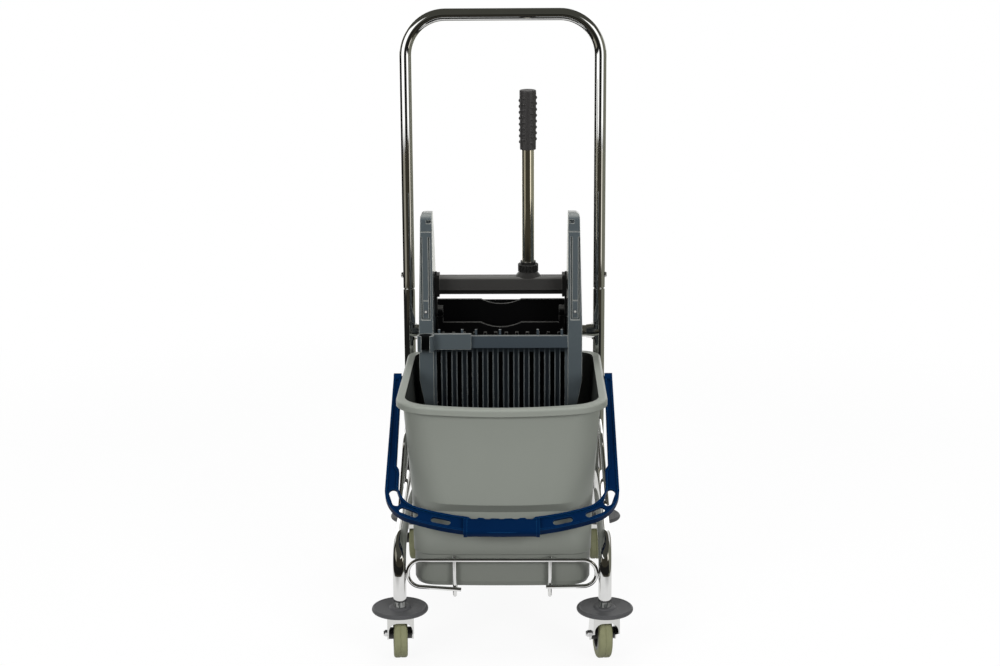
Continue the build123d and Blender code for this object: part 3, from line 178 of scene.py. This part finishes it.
def chrome_finish(name, tone, roughness):
    """Bright plating with faint cloudy haze."""
    finish = Finish(name)
    haze = finish.noise(scale=60.0)
    dull = [HAZE_DULL * share for share in tone]
    finish.set(
        Base_Color=finish.mix(haze, tone, dull), Metallic=1.0, Roughness=roughness + HAZE_ROUGH * haze,
    )
    return finish


tube_chrome = chrome_finish("tube_chrome", tone=(0.70, 0.70, 0.69), roughness=0.03)
dress(tube_chrome, "arch_left", "arch_right", "upright_left", "upright_right", "push_handle")
saddle_chrome = chrome_finish("saddle_chrome", tone=(0.74, 0.74, 0.72), roughness=0.08)
dress(saddle_chrome, "rear_cross_tube", "cross_saddle_left", "cross_saddle_right")


# Wire cradle: flat loops between the legs, two wires under the bucket and a hoop beside each rail.
# Drawn steel wire, bent, spot welded and plated with the frame.

wire_chrome = chrome_finish("wire_chrome", tone=(0.72, 0.72, 0.71), roughness=0.06)
dress(
    wire_chrome, "front_wire_loop", "rear_wire_loop", "cradle_wires", "side_hoop_left", "side_hoop_right",
)


# Screws and pins: turned steel, zinc plated. They hold the push handle on the uprights and the
# press plate on its cranks. One more sits in the front edge of each cheek, with a painted highlight
# in the middle of its head, dark round it.

STEEL_TONES = ((0.72, 0.72, 0.73), (0.56, 0.56, 0.55))
SCREW_TONES = ((0.66, 0.66, 0.64), (0.50, 0.50, 0.48))
SCREW_HEAD_DARK = (0.085, 0.095, 0.100)
SCREW_HEAD_RADIUS = 0.0035
SCREW_HIGHLIGHT_FADE = (0.0014, 0.0022)

steel = Finish("zinc_steel")
steel_grain = steel.noise(scale=180.0)
steel.set(
    Base_Color=steel.mix(steel_grain, *STEEL_TONES), Metallic=1.0, Roughness=0.22 + 0.14 * steel_grain,
)
dress(steel, "handle_screws", "plate_pins")


def from_axis(first, second):
    """Distance from an axis, from two offsets that stand square to it and to each other."""
    return (first * first + second * second).math("SQRT")


screw_zinc = Finish("screw_zinc")
screw_grain = screw_zinc.noise(scale=240.0)
screw_low, screw_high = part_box("cheek_screws")
screw_middle = (screw_low + screw_high) / 2
screw_x = screw_high.x - screw_middle.x - SCREW_HEAD_RADIUS
screw_off_x = (screw_zinc.axis("X") - screw_middle.x).math("ABSOLUTE") - screw_x
screw_off_z = screw_zinc.axis("Z") - screw_middle.z
# painted highlight: bright zinc only in the middle of each head, dark round it
off_highlight = from_axis(screw_off_x, screw_off_z).rise(*SCREW_HIGHLIGHT_FADE)
head_highlight = screw_zinc.mix(screw_grain, *SCREW_TONES)
screw_zinc.set(
    Base_Color=screw_zinc.mix(off_highlight, head_highlight, SCREW_HEAD_DARK), Metallic=0.3,
    Roughness=0.40 + 0.14 * screw_grain,
)
dress(screw_zinc, "cheek_screws")


# Casters: zinc stem with painted reflection streaks, plated fork, rubber bumper disc, olive tread on a
# plastic wheel centre.
# The fork is pressed from sheet and swings on the riveted kingpin under the disc.

BUMPER_TONES = ((0.063, 0.064, 0.067), (0.079, 0.080, 0.083))
TREAD_TONES = ((0.275, 0.280, 0.160), (0.215, 0.220, 0.120))
HUB_TONES = ((0.030, 0.030, 0.028), (0.042, 0.042, 0.040))
STEM_REFLECTION_TONES = ((0.10, 0.11, 0.105), (0.62, 0.63, 0.61))
STEM_REFLECTION_STREAK = (0.35, 0.65)

bumper = Finish("bumper_rubber")
bumper_speck = bumper.noise(scale=420.0, detail=4.0)
bumper_cloud = bumper.noise(scale=24.0)
bumper.set(
    Base_Color=bumper.mix(bumper_cloud, *BUMPER_TONES), Roughness=0.42 + 0.18 * bumper_speck,
    Specular_IOR_Level=0.45,
)
bumper.relief(bumper_speck, depth=0.00006, edge=0.001)

tread = Finish("tread_rubber")
tread_scuff = tread.noise(scale=150.0, detail=5.0)
tread.set(Base_Color=tread.mix(tread_scuff, *TREAD_TONES), Roughness=0.55 + 0.2 * tread_scuff)
tread.relief(tread_scuff, depth=0.00008)

hub = Finish("hub_plastic")
hub_shade = hub.noise(scale=80.0)
hub.set(Base_Color=hub.mix(hub_shade, *HUB_TONES), Roughness=0.38 + 0.15 * hub_shade)

fork_plate = chrome_finish("fork_plate", tone=(0.66, 0.66, 0.64), roughness=0.10)

stem_zinc = Finish("stem_zinc")
stem_grain_and_reflection = stem_zinc.noise(scale=260.0, detail=2.0, stretch=(1.0, 1.0, 0.2))
# painted reflection: dark and bright streaks along the stem
stem_zinc.set(
    Base_Color=stem_zinc.mix(stem_grain_and_reflection.rise(*STEM_REFLECTION_STREAK), *STEM_REFLECTION_TONES), Metallic=0.5,
    Roughness=0.25 + 0.10 * stem_grain_and_reflection,
)

for corner in ("front_left", "front_right", "rear_left", "rear_right"):
    dress(fork_plate, corner + "_fork")
    dress(stem_zinc, corner + "_stem")
    dress(steel, corner + "_axle")
    dress(bumper, corner + "_bumper")
    dress(tread, corner + "_tyre")
    dress(hub, corner + "_hub")


# Bucket: one moulding of grey polypropylene with a shoulder and a rim that stands out.
# The outside is satin with faint flow marks and painted shade on its foot; the inside is painted near black
# with shade.

BUCKET_TONES = ((0.262, 0.279, 0.249), (0.238, 0.254, 0.225))
BUCKET_FOOT_SHADE = (0.172, 0.182, 0.162)
BUCKET_INSIDE_SHADE = (0.012, 0.013, 0.012)
FOOT_SHADE_FADE = (0.160, 0.205)
INSIDE_SHADE_SHARE = 0.9
INSIDE_SHADE_FADE = (-0.03, -0.005)

bucket_grey = Finish("bucket_grey")
bucket_flow = bucket_grey.noise(scale=9.0, detail=4.0, stretch=(1.0, 1.0, 0.35))
bucket_low, bucket_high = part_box("bucket")
bucket_middle = (bucket_low + bucket_high) / 2
rim_middle = (bucket_middle.x, bucket_middle.y, bucket_high.z)
from_rim = bucket_grey.node(
    "ShaderNodeVectorMath", {"operation": "SUBTRACT"}, {0: bucket_grey.place, 1: rim_middle}, "Vector"
)
facing = bucket_grey.node("ShaderNodeTexCoord", {}, {}, "Normal")
outwards = bucket_grey.node(
    "ShaderNodeVectorMath", {"operation": "DOT_PRODUCT"}, {0: from_rim, 1: facing}, "Value"
)
# painted shade: faces that look in towards the middle of the rim are made near black
inside = 1 - outwards.rise(*INSIDE_SHADE_FADE)
# painted shade: darker towards the foot
shaded_foot = 1 - bucket_grey.axis("Z").rise(*FOOT_SHADE_FADE)
outer = bucket_grey.mix(bucket_flow, *BUCKET_TONES)
foot_shaded = bucket_grey.mix(shaded_foot, outer, BUCKET_FOOT_SHADE)
bucket_grey.set(
    Base_Color=bucket_grey.mix(inside * INSIDE_SHADE_SHARE, foot_shaded, BUCKET_INSIDE_SHADE),
    Roughness=0.36 + 0.10 * bucket_flow, Specular_IOR_Level=0.25,
)
bucket_grey.relief(bucket_grey.noise(scale=700.0, detail=2.0), depth=0.00002, edge=0.001)
dress(bucket_grey, "bucket")


# Bail: a blue moulded bow that hangs on two studs in the rim of the bucket.
# Satin plastic with painted paler highlights along its edges, with slotted corners and a grip with finger
# waves.

BAIL_TONES = ((0.0003, 0.014, 0.058), (0.0002, 0.011, 0.047))
BAIL_HIGHLIGHT = (0.008, 0.062, 0.165)
BAIL_EDGE_HIGHLIGHT = 0.9

bail_blue = Finish("bail_blue")
bail_cloud = bail_blue.noise(scale=16.0)
bail_blue.relief(bail_blue.noise(scale=600.0, detail=2.0), depth=0.00003, edge=0.0009)
bail_plain = bail_blue.mix(bail_cloud, *BAIL_TONES)
# painted highlights: paler blue along the rounded edges
bail_blue.set(
    Base_Color=bail_blue.mix(bail_blue.on_edge() * BAIL_EDGE_HIGHLIGHT, bail_plain, BAIL_HIGHLIGHT),
    Roughness=0.42 + 0.12 * bail_cloud, Specular_IOR_Level=0.03,
)
dress(bail_blue, "bail_handle", "bail_stud_left", "bail_stud_right")


# Wringer frame: slate grey cheeks, beam, floor and hooks, moulded and joined into one box.
# Glass filled plastic with a fine spark eroded grain, with painted pale highlights on its edges and on top.
# All but the beam have a clear sheen and painted shade at the foot.

SLATE_TONES = ((0.076, 0.094, 0.103), (0.064, 0.080, 0.089))
SLATE_HIGHLIGHT = (0.42, 0.43, 0.40)
SLATE_EDGE_HIGHLIGHT = 0.85
SLATE_FOOT_SHADE = (0.034, 0.041, 0.043)
SLATE_SHADE_FADE = (0.335, 0.362)
BEAM_TONES = ((0.046, 0.060, 0.072), (0.038, 0.050, 0.061))
TOP_HIGHLIGHT = 0.36


def moulded_finish(name, tones, edge, highlight, edge_highlight, gloss=0.45):
    """Satin plastic between two close tones, with a fine grain and painted highlights on its edges and on
    top.
    """
    finish = Finish(name)
    cloud = finish.noise(scale=16.0)
    finish.relief(finish.noise(scale=900.0, detail=2.0), depth=0.00003, edge=edge)
    # painted highlights: paler along the rounded edges, then paler again on what faces up
    edge_highlit = finish.mix(finish.on_edge() * edge_highlight, finish.mix(cloud, *tones), highlight)
    finish.tone = finish.mix(finish.faces_up() * TOP_HIGHLIGHT, edge_highlit, highlight)
    finish.set(Base_Color=finish.tone, Roughness=0.38 + 0.14 * cloud, Specular_IOR_Level=gloss)
    return finish


slate = moulded_finish(
    "wringer_slate", SLATE_TONES, edge=0.0018, highlight=SLATE_HIGHLIGHT, edge_highlight=SLATE_EDGE_HIGHLIGHT,
)
# painted shade: darker towards the foot of the wringer, down in the bucket
slate_foot_shade = 1 - slate.axis("Z").rise(*SLATE_SHADE_FADE)
slate.set(Base_Color=slate.mix(slate_foot_shade, slate.tone, SLATE_FOOT_SHADE), Coat_Weight=0.7, Coat_Roughness=0.10)
dress(slate, "cheek_left", "cheek_right", "drain_floor", "hook_left", "hook_right")

beam_slate = moulded_finish(
    "beam_slate", BEAM_TONES, edge=0.0009, highlight=SLATE_HIGHLIGHT, edge_highlight=SLATE_EDGE_HIGHLIGHT,
)
dress(beam_slate, "front_beam")


# Mop clip: an open ring beside the left cheek, on a bracket in front of the beam.
# The same slate plastic, with painted shade in its bore.

CLIP_BORE_RADIUS = 0.0100
CLIP_WALL = 0.0035
CLIP_GAP = 0.0005
BORE_FADE = (0.0002, 0.0008)
BORE_SHADE = (0.006, 0.007, 0.008)

clip_slate = moulded_finish(
    "clip_slate", SLATE_TONES, edge=0.0012, highlight=SLATE_HIGHLIGHT, edge_highlight=SLATE_EDGE_HIGHLIGHT,
)
clip_low, clip_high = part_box("mop_clip")
clip_radius = CLIP_BORE_RADIUS + CLIP_WALL
bore_off_x = clip_slate.axis("X") - (clip_low.x + clip_radius)
bore_off_y = clip_slate.axis("Y") - (clip_high.y - CLIP_GAP - clip_radius)
# painted shade: the bore of the ring is made near black
shaded_bore = 1 - (from_axis(bore_off_x, bore_off_y) - CLIP_BORE_RADIUS).rise(*BORE_FADE)
clip_slate.set(Base_Color=clip_slate.mix(shaded_bore, clip_slate.tone, BORE_SHADE))
dress(clip_slate, "mop_clip")


# Grille: thin upright walls that hang under the beam, with slots and grooves between them.
# The same plastic in a darker slate, with painted shade in the bottoms of the grooves and under the beam,
# and painted highlights on the rib edges.

GRILLE_TONES = ((0.054, 0.066, 0.072), (0.045, 0.055, 0.061))
GRILLE_EDGE_HIGHLIGHT = 0.7
GRILLE_SHADE = (0.010, 0.014, 0.018)
GROOVE_FADE = (0.001, 0.0038)
UNDER_BEAM = 0.016

grille_slate = moulded_finish(
    "grille_slate", GRILLE_TONES, edge=0.0005, highlight=SLATE_HIGHLIGHT, edge_highlight=GRILLE_EDGE_HIGHLIGHT,
)
grille_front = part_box("front_grille")[0].y
beam_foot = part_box("front_beam")[0].z
# painted shade: darker in the grooves and just under the beam
in_groove = (grille_slate.axis("Y") - grille_front).rise(*GROOVE_FADE)
under_beam = grille_slate.axis("Z").rise(beam_foot - UNDER_BEAM, beam_foot)
grille_shade_mask = in_groove.math("MAXIMUM", under_beam)
grille_slate.set(Base_Color=grille_slate.mix(grille_shade_mask, grille_slate.tone, GRILLE_SHADE))
dress(grille_slate, "front_grille")


# Press plates: the fixed one at the rear and the ribbed one that the cranks push forward.
# Black moulded plastic, with painted grey highlights along its edges and on top.

PRESS_TONES = ((0.0014, 0.0014, 0.0015), (0.0024, 0.0024, 0.0026))
BLACK_HIGHLIGHT = (0.22, 0.22, 0.207)
BLACK_EDGE_HIGHLIGHT = 0.40

press_black = moulded_finish(
    "press_black", PRESS_TONES, edge=0.0012, highlight=BLACK_HIGHLIGHT, edge_highlight=BLACK_EDGE_HIGHLIGHT, gloss=0.1,
)
dress(press_black, "rear_plate", "press_plate")


# Press lever: a dark moulded crossbar with a socket, a collar nut and a chromed tube.
# Its cranks push the press plate towards the grille; the foot and the ends of the bar are black.

LEVER_TONES = ((0.040, 0.039, 0.037), (0.032, 0.031, 0.030))
LEVER_BLACK = (0.008, 0.008, 0.008)
FOOT_DROP = 0.0078
FOOT_FADE = 0.0006
FLANGE_IN = 0.0222
FLANGE_FADE = 0.0004
COLLAR_TONES = ((0.006, 0.006, 0.006), (0.010, 0.010, 0.010))
COLLAR_HIGHLIGHT = (0.08, 0.08, 0.075)

# painted highlights on the edges and on top of the crossbar
lever_grey = moulded_finish(
    "lever_grey", LEVER_TONES, edge=0.0008, highlight=BLACK_HIGHLIGHT, edge_highlight=BLACK_EDGE_HIGHLIGHT,
)
lever_joint = next(joint for joint in frame["joints"] if joint["name"] == "lever_swing")
lever_y, lever_z = lever_joint["pos_m"][1:]
bar_low, bar_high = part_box("press_crossbar")
bar_middle = (bar_low.x + bar_high.x) / 2
bar_foot = lever_z - FOOT_DROP
bar_end = bar_high.x - bar_middle - FLANGE_IN
black_foot = 1 - lever_grey.axis("Z").rise(bar_foot, bar_foot + FOOT_FADE)
from_bar_middle = (lever_grey.axis("X") - bar_middle).math("ABSOLUTE")
black_ends = from_bar_middle.rise(bar_end, bar_end + FLANGE_FADE)
bar_black = black_foot.math("MAXIMUM", black_ends)
lever_grey.set(Base_Color=lever_grey.mix(bar_black, lever_grey.tone, LEVER_BLACK))
dress(lever_grey, "press_crossbar")

# painted highlights on the edges and on top of the collar nut
collar_black = moulded_finish(
    "collar_black", COLLAR_TONES, edge=0.0006, highlight=COLLAR_HIGHLIGHT, edge_highlight=BLACK_EDGE_HIGHLIGHT,
)
dress(collar_black, "collar_nut")

lever_chrome = chrome_finish("lever_chrome", tone=(0.94, 0.90, 0.78), roughness=0.06)
dress(lever_chrome, "lever_tube")


# Lever grip: a rubber sleeve with rows of small round bumps, pushed over the tube.
# The bumps are moulded on the sleeve, and each column stands half a step from the next.

class Pattern(NodeTree):
    """A Geometry Nodes tree that makes one mesh; its sizes are named inputs."""

    def __init__(self, name, sizes):
        super().__init__(bpy.data.node_groups.new(name, "GeometryNodeTree"))
        self.tree.is_modifier = True
        self.tree.interface.new_socket("Mesh", in_out="OUTPUT", socket_type="NodeSocketGeometry")
        self.sizes = {}
        for label, size in sizes.items():
            kind = "NodeSocketInt" if isinstance(size, int) else "NodeSocketFloat"
            made = self.tree.interface.new_socket(label, in_out="INPUT", socket_type=kind)
            self.sizes[made.identifier] = size
        self.entry = self.tree.nodes.new("NodeGroupInput")

    def size(self, label):
        return Value(self, self.entry.outputs[label])

    def piece(self, shape, finish, place):
        """The finished mesh of the tree as an object in the frame, at rest."""
        plain = self.node("GeometryNodeRealizeInstances", {}, {"Geometry": shape})
        dressed = self.node("GeometryNodeSetMaterial", {}, {"Geometry": plain, "Material": finish.material})
        self.fill(self.tree.nodes.new("NodeGroupOutput").inputs["Mesh"], dressed)
        seed = bpy.data.objects.new(self.tree.name, bpy.data.meshes.new(self.tree.name + "_seed"))
        bpy.context.scene.collection.objects.link(seed)
        modifier = seed.modifiers.new("pattern", "NODES")
        modifier.node_group = self.tree
        for identifier, size in self.sizes.items():
            modifier[identifier] = size
        view = bpy.context.evaluated_depsgraph_get()
        mesh = bpy.data.meshes.new_from_object(seed.evaluated_get(view), depsgraph=view)
        mesh.transform(place)
        for polygon in mesh.polygons:
            polygon.use_smooth = True
        seed.modifiers.remove(modifier)
        seed.data = mesh
        return seed


GRIP_TONES = ((0.036, 0.034, 0.034), (0.027, 0.026, 0.026))
SLEEVE_FLARE = 0.0005
BALL_FINENESS = 3

grip_low, grip_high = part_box("lever_grip")
grip_middle = (grip_low + grip_high) / 2
lean = math.atan2(lever_y - grip_middle.y, grip_middle.z - lever_z)
sleeve_radius = (grip_high.x - grip_low.x) / 2
sleeve_length = ((grip_high.z - grip_low.z) - 2 * sleeve_radius * math.sin(lean)) / math.cos(lean)
bumps = Pattern("grip_bumps", {
    "Columns": 6, "Rows": 8, "Step": 0.0094, "Sleeve Radius": sleeve_radius - SLEEVE_FLARE / 2,
    "Flare": SLEEVE_FLARE / sleeve_length, "Bump Radius": 0.0032, "Sunk": 0.0016,
})
index = bumps.node("GeometryNodeInputIndex", {}, {})
column = (index / bumps.size("Rows")).math("FLOOR")
row = index - column * bumps.size("Rows")
odd = column.math("MODULO", 2.0)
middle_row = (bumps.size("Rows") - 0.5) / 2
height = (row - middle_row + odd / 2) * bumps.size("Step")
angle = (column + 0.5) * math.tau / bumps.size("Columns")
reach = bumps.size("Sleeve Radius") + height * bumps.size("Flare") - bumps.size("Sunk")
spot = bumps.node("ShaderNodeCombineXYZ", {}, {
    "X": angle.math("SINE") * reach, "Y": angle.math("COSINE") * reach, "Z": height,
})
count = bumps.size("Columns") * bumps.size("Rows")
points = bumps.node("GeometryNodeMeshLine", {}, {"Count": count})
placed = bumps.node("GeometryNodeSetPosition", {}, {"Geometry": points, "Position": spot})
ball_sizes = {"Radius": bumps.size("Bump Radius"), "Subdivisions": BALL_FINENESS}
ball = bumps.node("GeometryNodeMeshIcoSphere", {}, ball_sizes)
spread = bumps.node("GeometryNodeInstanceOnPoints", {}, {"Points": placed, "Instance": ball})

grip_rubber = Finish("grip_rubber")
grip_speck = grip_rubber.noise(scale=300.0, detail=4.0)
grip_rubber.set(Base_Color=grip_rubber.mix(grip_speck, *GRIP_TONES), Roughness=0.34 + 0.16 * grip_speck)
grip_rubber.relief(grip_speck, depth=0.00006)
dress(grip_rubber, "lever_grip")
grip_place = Matrix.Translation(grip_middle) @ Matrix.Rotation(lean, 4, "X")
grip_bumps = bumps.piece(spread, grip_rubber, grip_place)
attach(grip_bumps, "lever")


# Studio: a white floor in a white surround and soft lamps above, in front and behind.
# A dim room and a low screen stand round the trolley and are seen only in reflections.

WHITE = (1.0, 1.0, 1.0, 1.0)
LIT_PAPER = (0.90, 0.90, 0.90, 1.0)
DIM_PAPER = (0.28, 0.28, 0.28, 1.0)
FLOOR_RADIUS = 10.0
FLOOR_SIDES = 96
FLOOR_EDGE = (1.3, 2.4)
PAPER_EDGE = (0.58, 0.76)
SHADOW_LEFT = 0.92


def staged_mesh(name, corners, faces):
    """A plain mesh of the surround."""
    mesh = bpy.data.meshes.new(name)
    mesh.from_pydata(corners, [], faces)
    made = bpy.data.objects.new(name, mesh)
    bpy.context.scene.collection.objects.link(made)
    return made


def surround_finish(name):
    """A finish without a shader, for the floor, the room and the screen."""
    finish = Finish(name)
    finish.tree.nodes.remove(finish.shader)
    finish.out = finish.tree.nodes["Material Output"].inputs["Surface"]
    return finish


# the floor: white paper that keeps the shadow, dimmer for the light that it sends back
paper = surround_finish("studio_floor")
from_middle = paper.node("ShaderNodeVectorMath", {"operation": "LENGTH"}, {0: paper.place}, "Value")
seen = paper.node("ShaderNodeLightPath", {}, {}, "Is Camera Ray")
mirrored = paper.node("ShaderNodeLightPath", {}, {}, "Is Glossy Ray")
white_share = from_middle.rise(*FLOOR_EDGE) * (1 - SHADOW_LEFT) + SHADOW_LEFT
lit_paper = paper.node("ShaderNodeBsdfDiffuse", {}, {"Color": LIT_PAPER})
dim_paper = paper.node("ShaderNodeBsdfDiffuse", {}, {"Color": DIM_PAPER})
white_paper = paper.node("ShaderNodeEmission", {}, {"Color": WHITE, "Strength": 1.0})
open_paper = paper.node("ShaderNodeBsdfTransparent", {}, {})
seen_paper = paper.node("ShaderNodeMixShader", {}, {0: white_share, 1: lit_paper, 2: white_paper})
shown = seen.math("MAXIMUM", mirrored)
whole_paper = paper.node("ShaderNodeMixShader", {}, {0: shown, 1: dim_paper, 2: seen_paper})
beyond = from_middle.rise(*PAPER_EDGE) * mirrored
paper.fill(paper.out, paper.node("ShaderNodeMixShader", {}, {0: beyond, 1: whole_paper, 2: open_paper}))
floor_turns = [math.tau * step / FLOOR_SIDES for step in range(FLOOR_SIDES)]
floor_rim = [(FLOOR_RADIUS * math.cos(turn), FLOOR_RADIUS * math.sin(turn), 0.0) for turn in floor_turns]
floor = staged_mesh("studio_floor", floor_rim, [tuple(range(FLOOR_SIDES))])
floor.data.materials.append(paper.material)

# what reflections show of the room: bearing from the front and half width in degrees, lowest and
# highest level, and colour; a later one covers those before it
CEILING = (0.070, 0.070, 0.058)
OLIVE_WALL = (0.22, 0.22, 0.175)
WINDOW = (1.7, 1.7, 1.68)
WARM_WINDOW = (1.20, 1.14, 1.00)
WARM_WALL = (0.36, 0.34, 0.28)
DARK_FLOOR = (0.045, 0.041, 0.030)
BACK_WALL = (0.85, 0.85, 0.83)
BACK_FLOOR = (1.0, 1.0, 0.93)
DARK = (0.015, 0.015, 0.014)
SOFT_SIDE = math.radians(3.0)


def surround_view(finish, level, soft_end, panels):
    """Light of the panels round the trolley, laid out by bearing and by a level."""
    bearing = finish.axis("X").math("ARCTAN2", finish.axis("Y") * -1.0)
    view = DARK
    for centre, half_width, lowest, highest, colour in panels:
        off = (bearing - math.radians(centre)).math("WRAP", math.pi, -math.pi).math("ABSOLUTE")
        half = math.radians(half_width)
        across = 1 - off.rise(half - SOFT_SIDE, half + SOFT_SIDE)
        along = level.rise(lowest, lowest + soft_end) * (1 - level.rise(highest - soft_end, highest))
        view = finish.mix(across * along, view, colour)
    finish.fill(finish.out, finish.node("ShaderNodeEmission", {}, {"Color": view}))


def mirrored_only(piece, finish):
    """Dresses a part of the surround and keeps it to reflections."""
    piece.data.materials.append(finish.material)
    for ray in ("camera", "diffuse", "transmission", "shadow", "volume_scatter"):
        setattr(piece, "visible_" + ray, False)


# the walls and the ceiling, by the sine of their elevation
ROOM_RADIUS = 11.0
ROOM_SEGMENTS = 64
ROOM_RINGS = 32
room_finish = surround_finish("studio_room")
surround_view(room_finish, level=room_finish.axis("Z") / ROOM_RADIUS, soft_end=0.025, panels=(
    (0.0, 190.0, 0.05, 1.2, CEILING),
    (118.0, 57.0, -0.6, 0.45, OLIVE_WALL),
    (0.0, 60.0, -0.42, -0.18, DARK_FLOOR),
    (-48.0, 25.0, -0.045, 0.60, WINDOW),
    (41.0, 17.0, -0.045, 0.60, WINDOW),
    (180.0, 60.0, 0.10, 0.50, BACK_WALL),
    (-152.0, 12.0, -0.45, 0.50, WINDOW),
    (165.0, 8.0, -0.45, 0.50, WINDOW),
    (180.0, 7.0, -0.45, 0.10, BACK_FLOOR),
))
bpy.ops.mesh.primitive_uv_sphere_add(segments=ROOM_SEGMENTS, ring_count=ROOM_RINGS, radius=ROOM_RADIUS)
room = bpy.context.object
room.name = "studio_room"
mirrored_only(room, room_finish)

# a low screen round the front of the trolley, by its height in metres
SCREEN_RADIUS = 0.90
SCREEN_HEIGHT = 0.65
SCREEN_TURN = math.radians(100.0)
SCREEN_STEPS = 48
screen_finish = surround_finish("studio_screen")
surround_view(screen_finish, level=screen_finish.axis("Z"), soft_end=0.03, panels=(
    (118.0, 57.0, 0.0, 1.0, OLIVE_WALL),
    (0.0, 60.0, 0.25, 1.0, DARK_FLOOR),
    (-66.0, 19.0, 0.34, 1.0, WARM_WALL),
    (54.0, 8.0, 0.38, 1.0, WARM_WINDOW),
))
screen_corners = []
for screen_z in (0.0, SCREEN_HEIGHT):
    for step in range(SCREEN_STEPS + 1):
        turn = SCREEN_TURN * (2 * step / SCREEN_STEPS - 1)
        screen_corners.append((SCREEN_RADIUS * math.sin(turn), -SCREEN_RADIUS * math.cos(turn), screen_z))
top_row = SCREEN_STEPS + 1
screen_faces = [(step, step + 1, step + 1 + top_row, step + top_row) for step in range(SCREEN_STEPS)]
screen = staged_mesh("studio_screen", screen_corners, screen_faces)
mirrored_only(screen, screen_finish)

# the surround: plain daylight on the trolley, white where it is seen
DAYLIGHT = 0.26
world = bpy.data.worlds.new("studio")
bpy.context.scene.world = world
world.use_nodes = True
sky = NodeTree(world.node_tree)
seen_white = sky.node("ShaderNodeLightPath", {}, {}, "Is Camera Ray")
for ray in ("Is Glossy Ray", "Is Transmission Ray"):
    seen_white = seen_white.math("MAXIMUM", sky.node("ShaderNodeLightPath", {}, {}, ray))
daylight = sky.node("ShaderNodeBackground", {}, {"Color": WHITE, "Strength": DAYLIGHT})
white = sky.node("ShaderNodeBackground", {}, {"Color": WHITE, "Strength": 1.0})
whole_sky = sky.node("ShaderNodeMixShader", {}, {0: seen_white, 1: daylight, 2: white})
sky.fill(world.node_tree.nodes["World Output"].inputs["Surface"], whole_sky)


def soft_lamp(name, place, target, size, power):
    """A square soft box aimed at a point, seen neither by the camera nor in reflections."""
    lamp = bpy.data.lights.new(name, "AREA")
    lamp.size = size
    lamp.energy = power
    made = bpy.data.objects.new(name, lamp)
    made.location = place
    made.rotation_euler = (Vector(target) - Vector(place)).to_track_quat("-Z", "Y").to_euler()
    made.visible_camera = False
    made.visible_glossy = False
    bpy.context.scene.collection.objects.link(made)


LAMP_TARGET = (0.0, 0.0, 0.4)
soft_lamp("top_box", place=(0.0, -0.3, 2.9), target=(0.0, 0.0, 0.3), size=1.8, power=42.0)
soft_lamp("left_box", place=(-2.0, -2.9, 1.5), target=LAMP_TARGET, size=1.2, power=54.0)
soft_lamp("right_box", place=(2.0, -2.9, 1.5), target=LAMP_TARGET, size=1.2, power=60.0)
soft_lamp("back_left_box", place=(-2.4, 2.4, 1.5), target=LAMP_TARGET, size=1.2, power=24.0)
soft_lamp("back_right_box", place=(2.4, 2.4, 1.5), target=LAMP_TARGET, size=1.2, power=24.0)


# Camera: a long lens in front of the trolley, a little above its handle and looking down.
# Its place, its turn and its focal length were fitted to the photograph.

FOCAL_PIXELS = 1701.3
IMAGE_WIDTH = 1000.0
SENSOR = 36.0
SIGHT_END = 100.0
CAMERA_PLACE = (0.0354, -2.6602, 1.0368)
YAW, PITCH, ROLL = 0.0151, 0.2127, -0.0055

lens = bpy.data.cameras.new("camera")
lens.sensor_width = SENSOR
lens.lens = FOCAL_PIXELS * SENSOR / IMAGE_WIDTH
lens.clip_end = SIGHT_END
camera = bpy.data.objects.new("camera", lens)
heading = Matrix.Rotation(YAW, 4, "Z") @ Matrix.Rotation(math.pi / 2 - PITCH, 4, "X")
camera_turn = heading @ Matrix.Rotation(ROLL, 4, "Z")
camera.matrix_world = Matrix.Translation(CAMERA_PLACE) @ camera_turn
bpy.context.scene.collection.objects.link(camera)
bpy.context.scene.camera = camera
bpy.context.scene.view_settings.view_transform = "Standard"
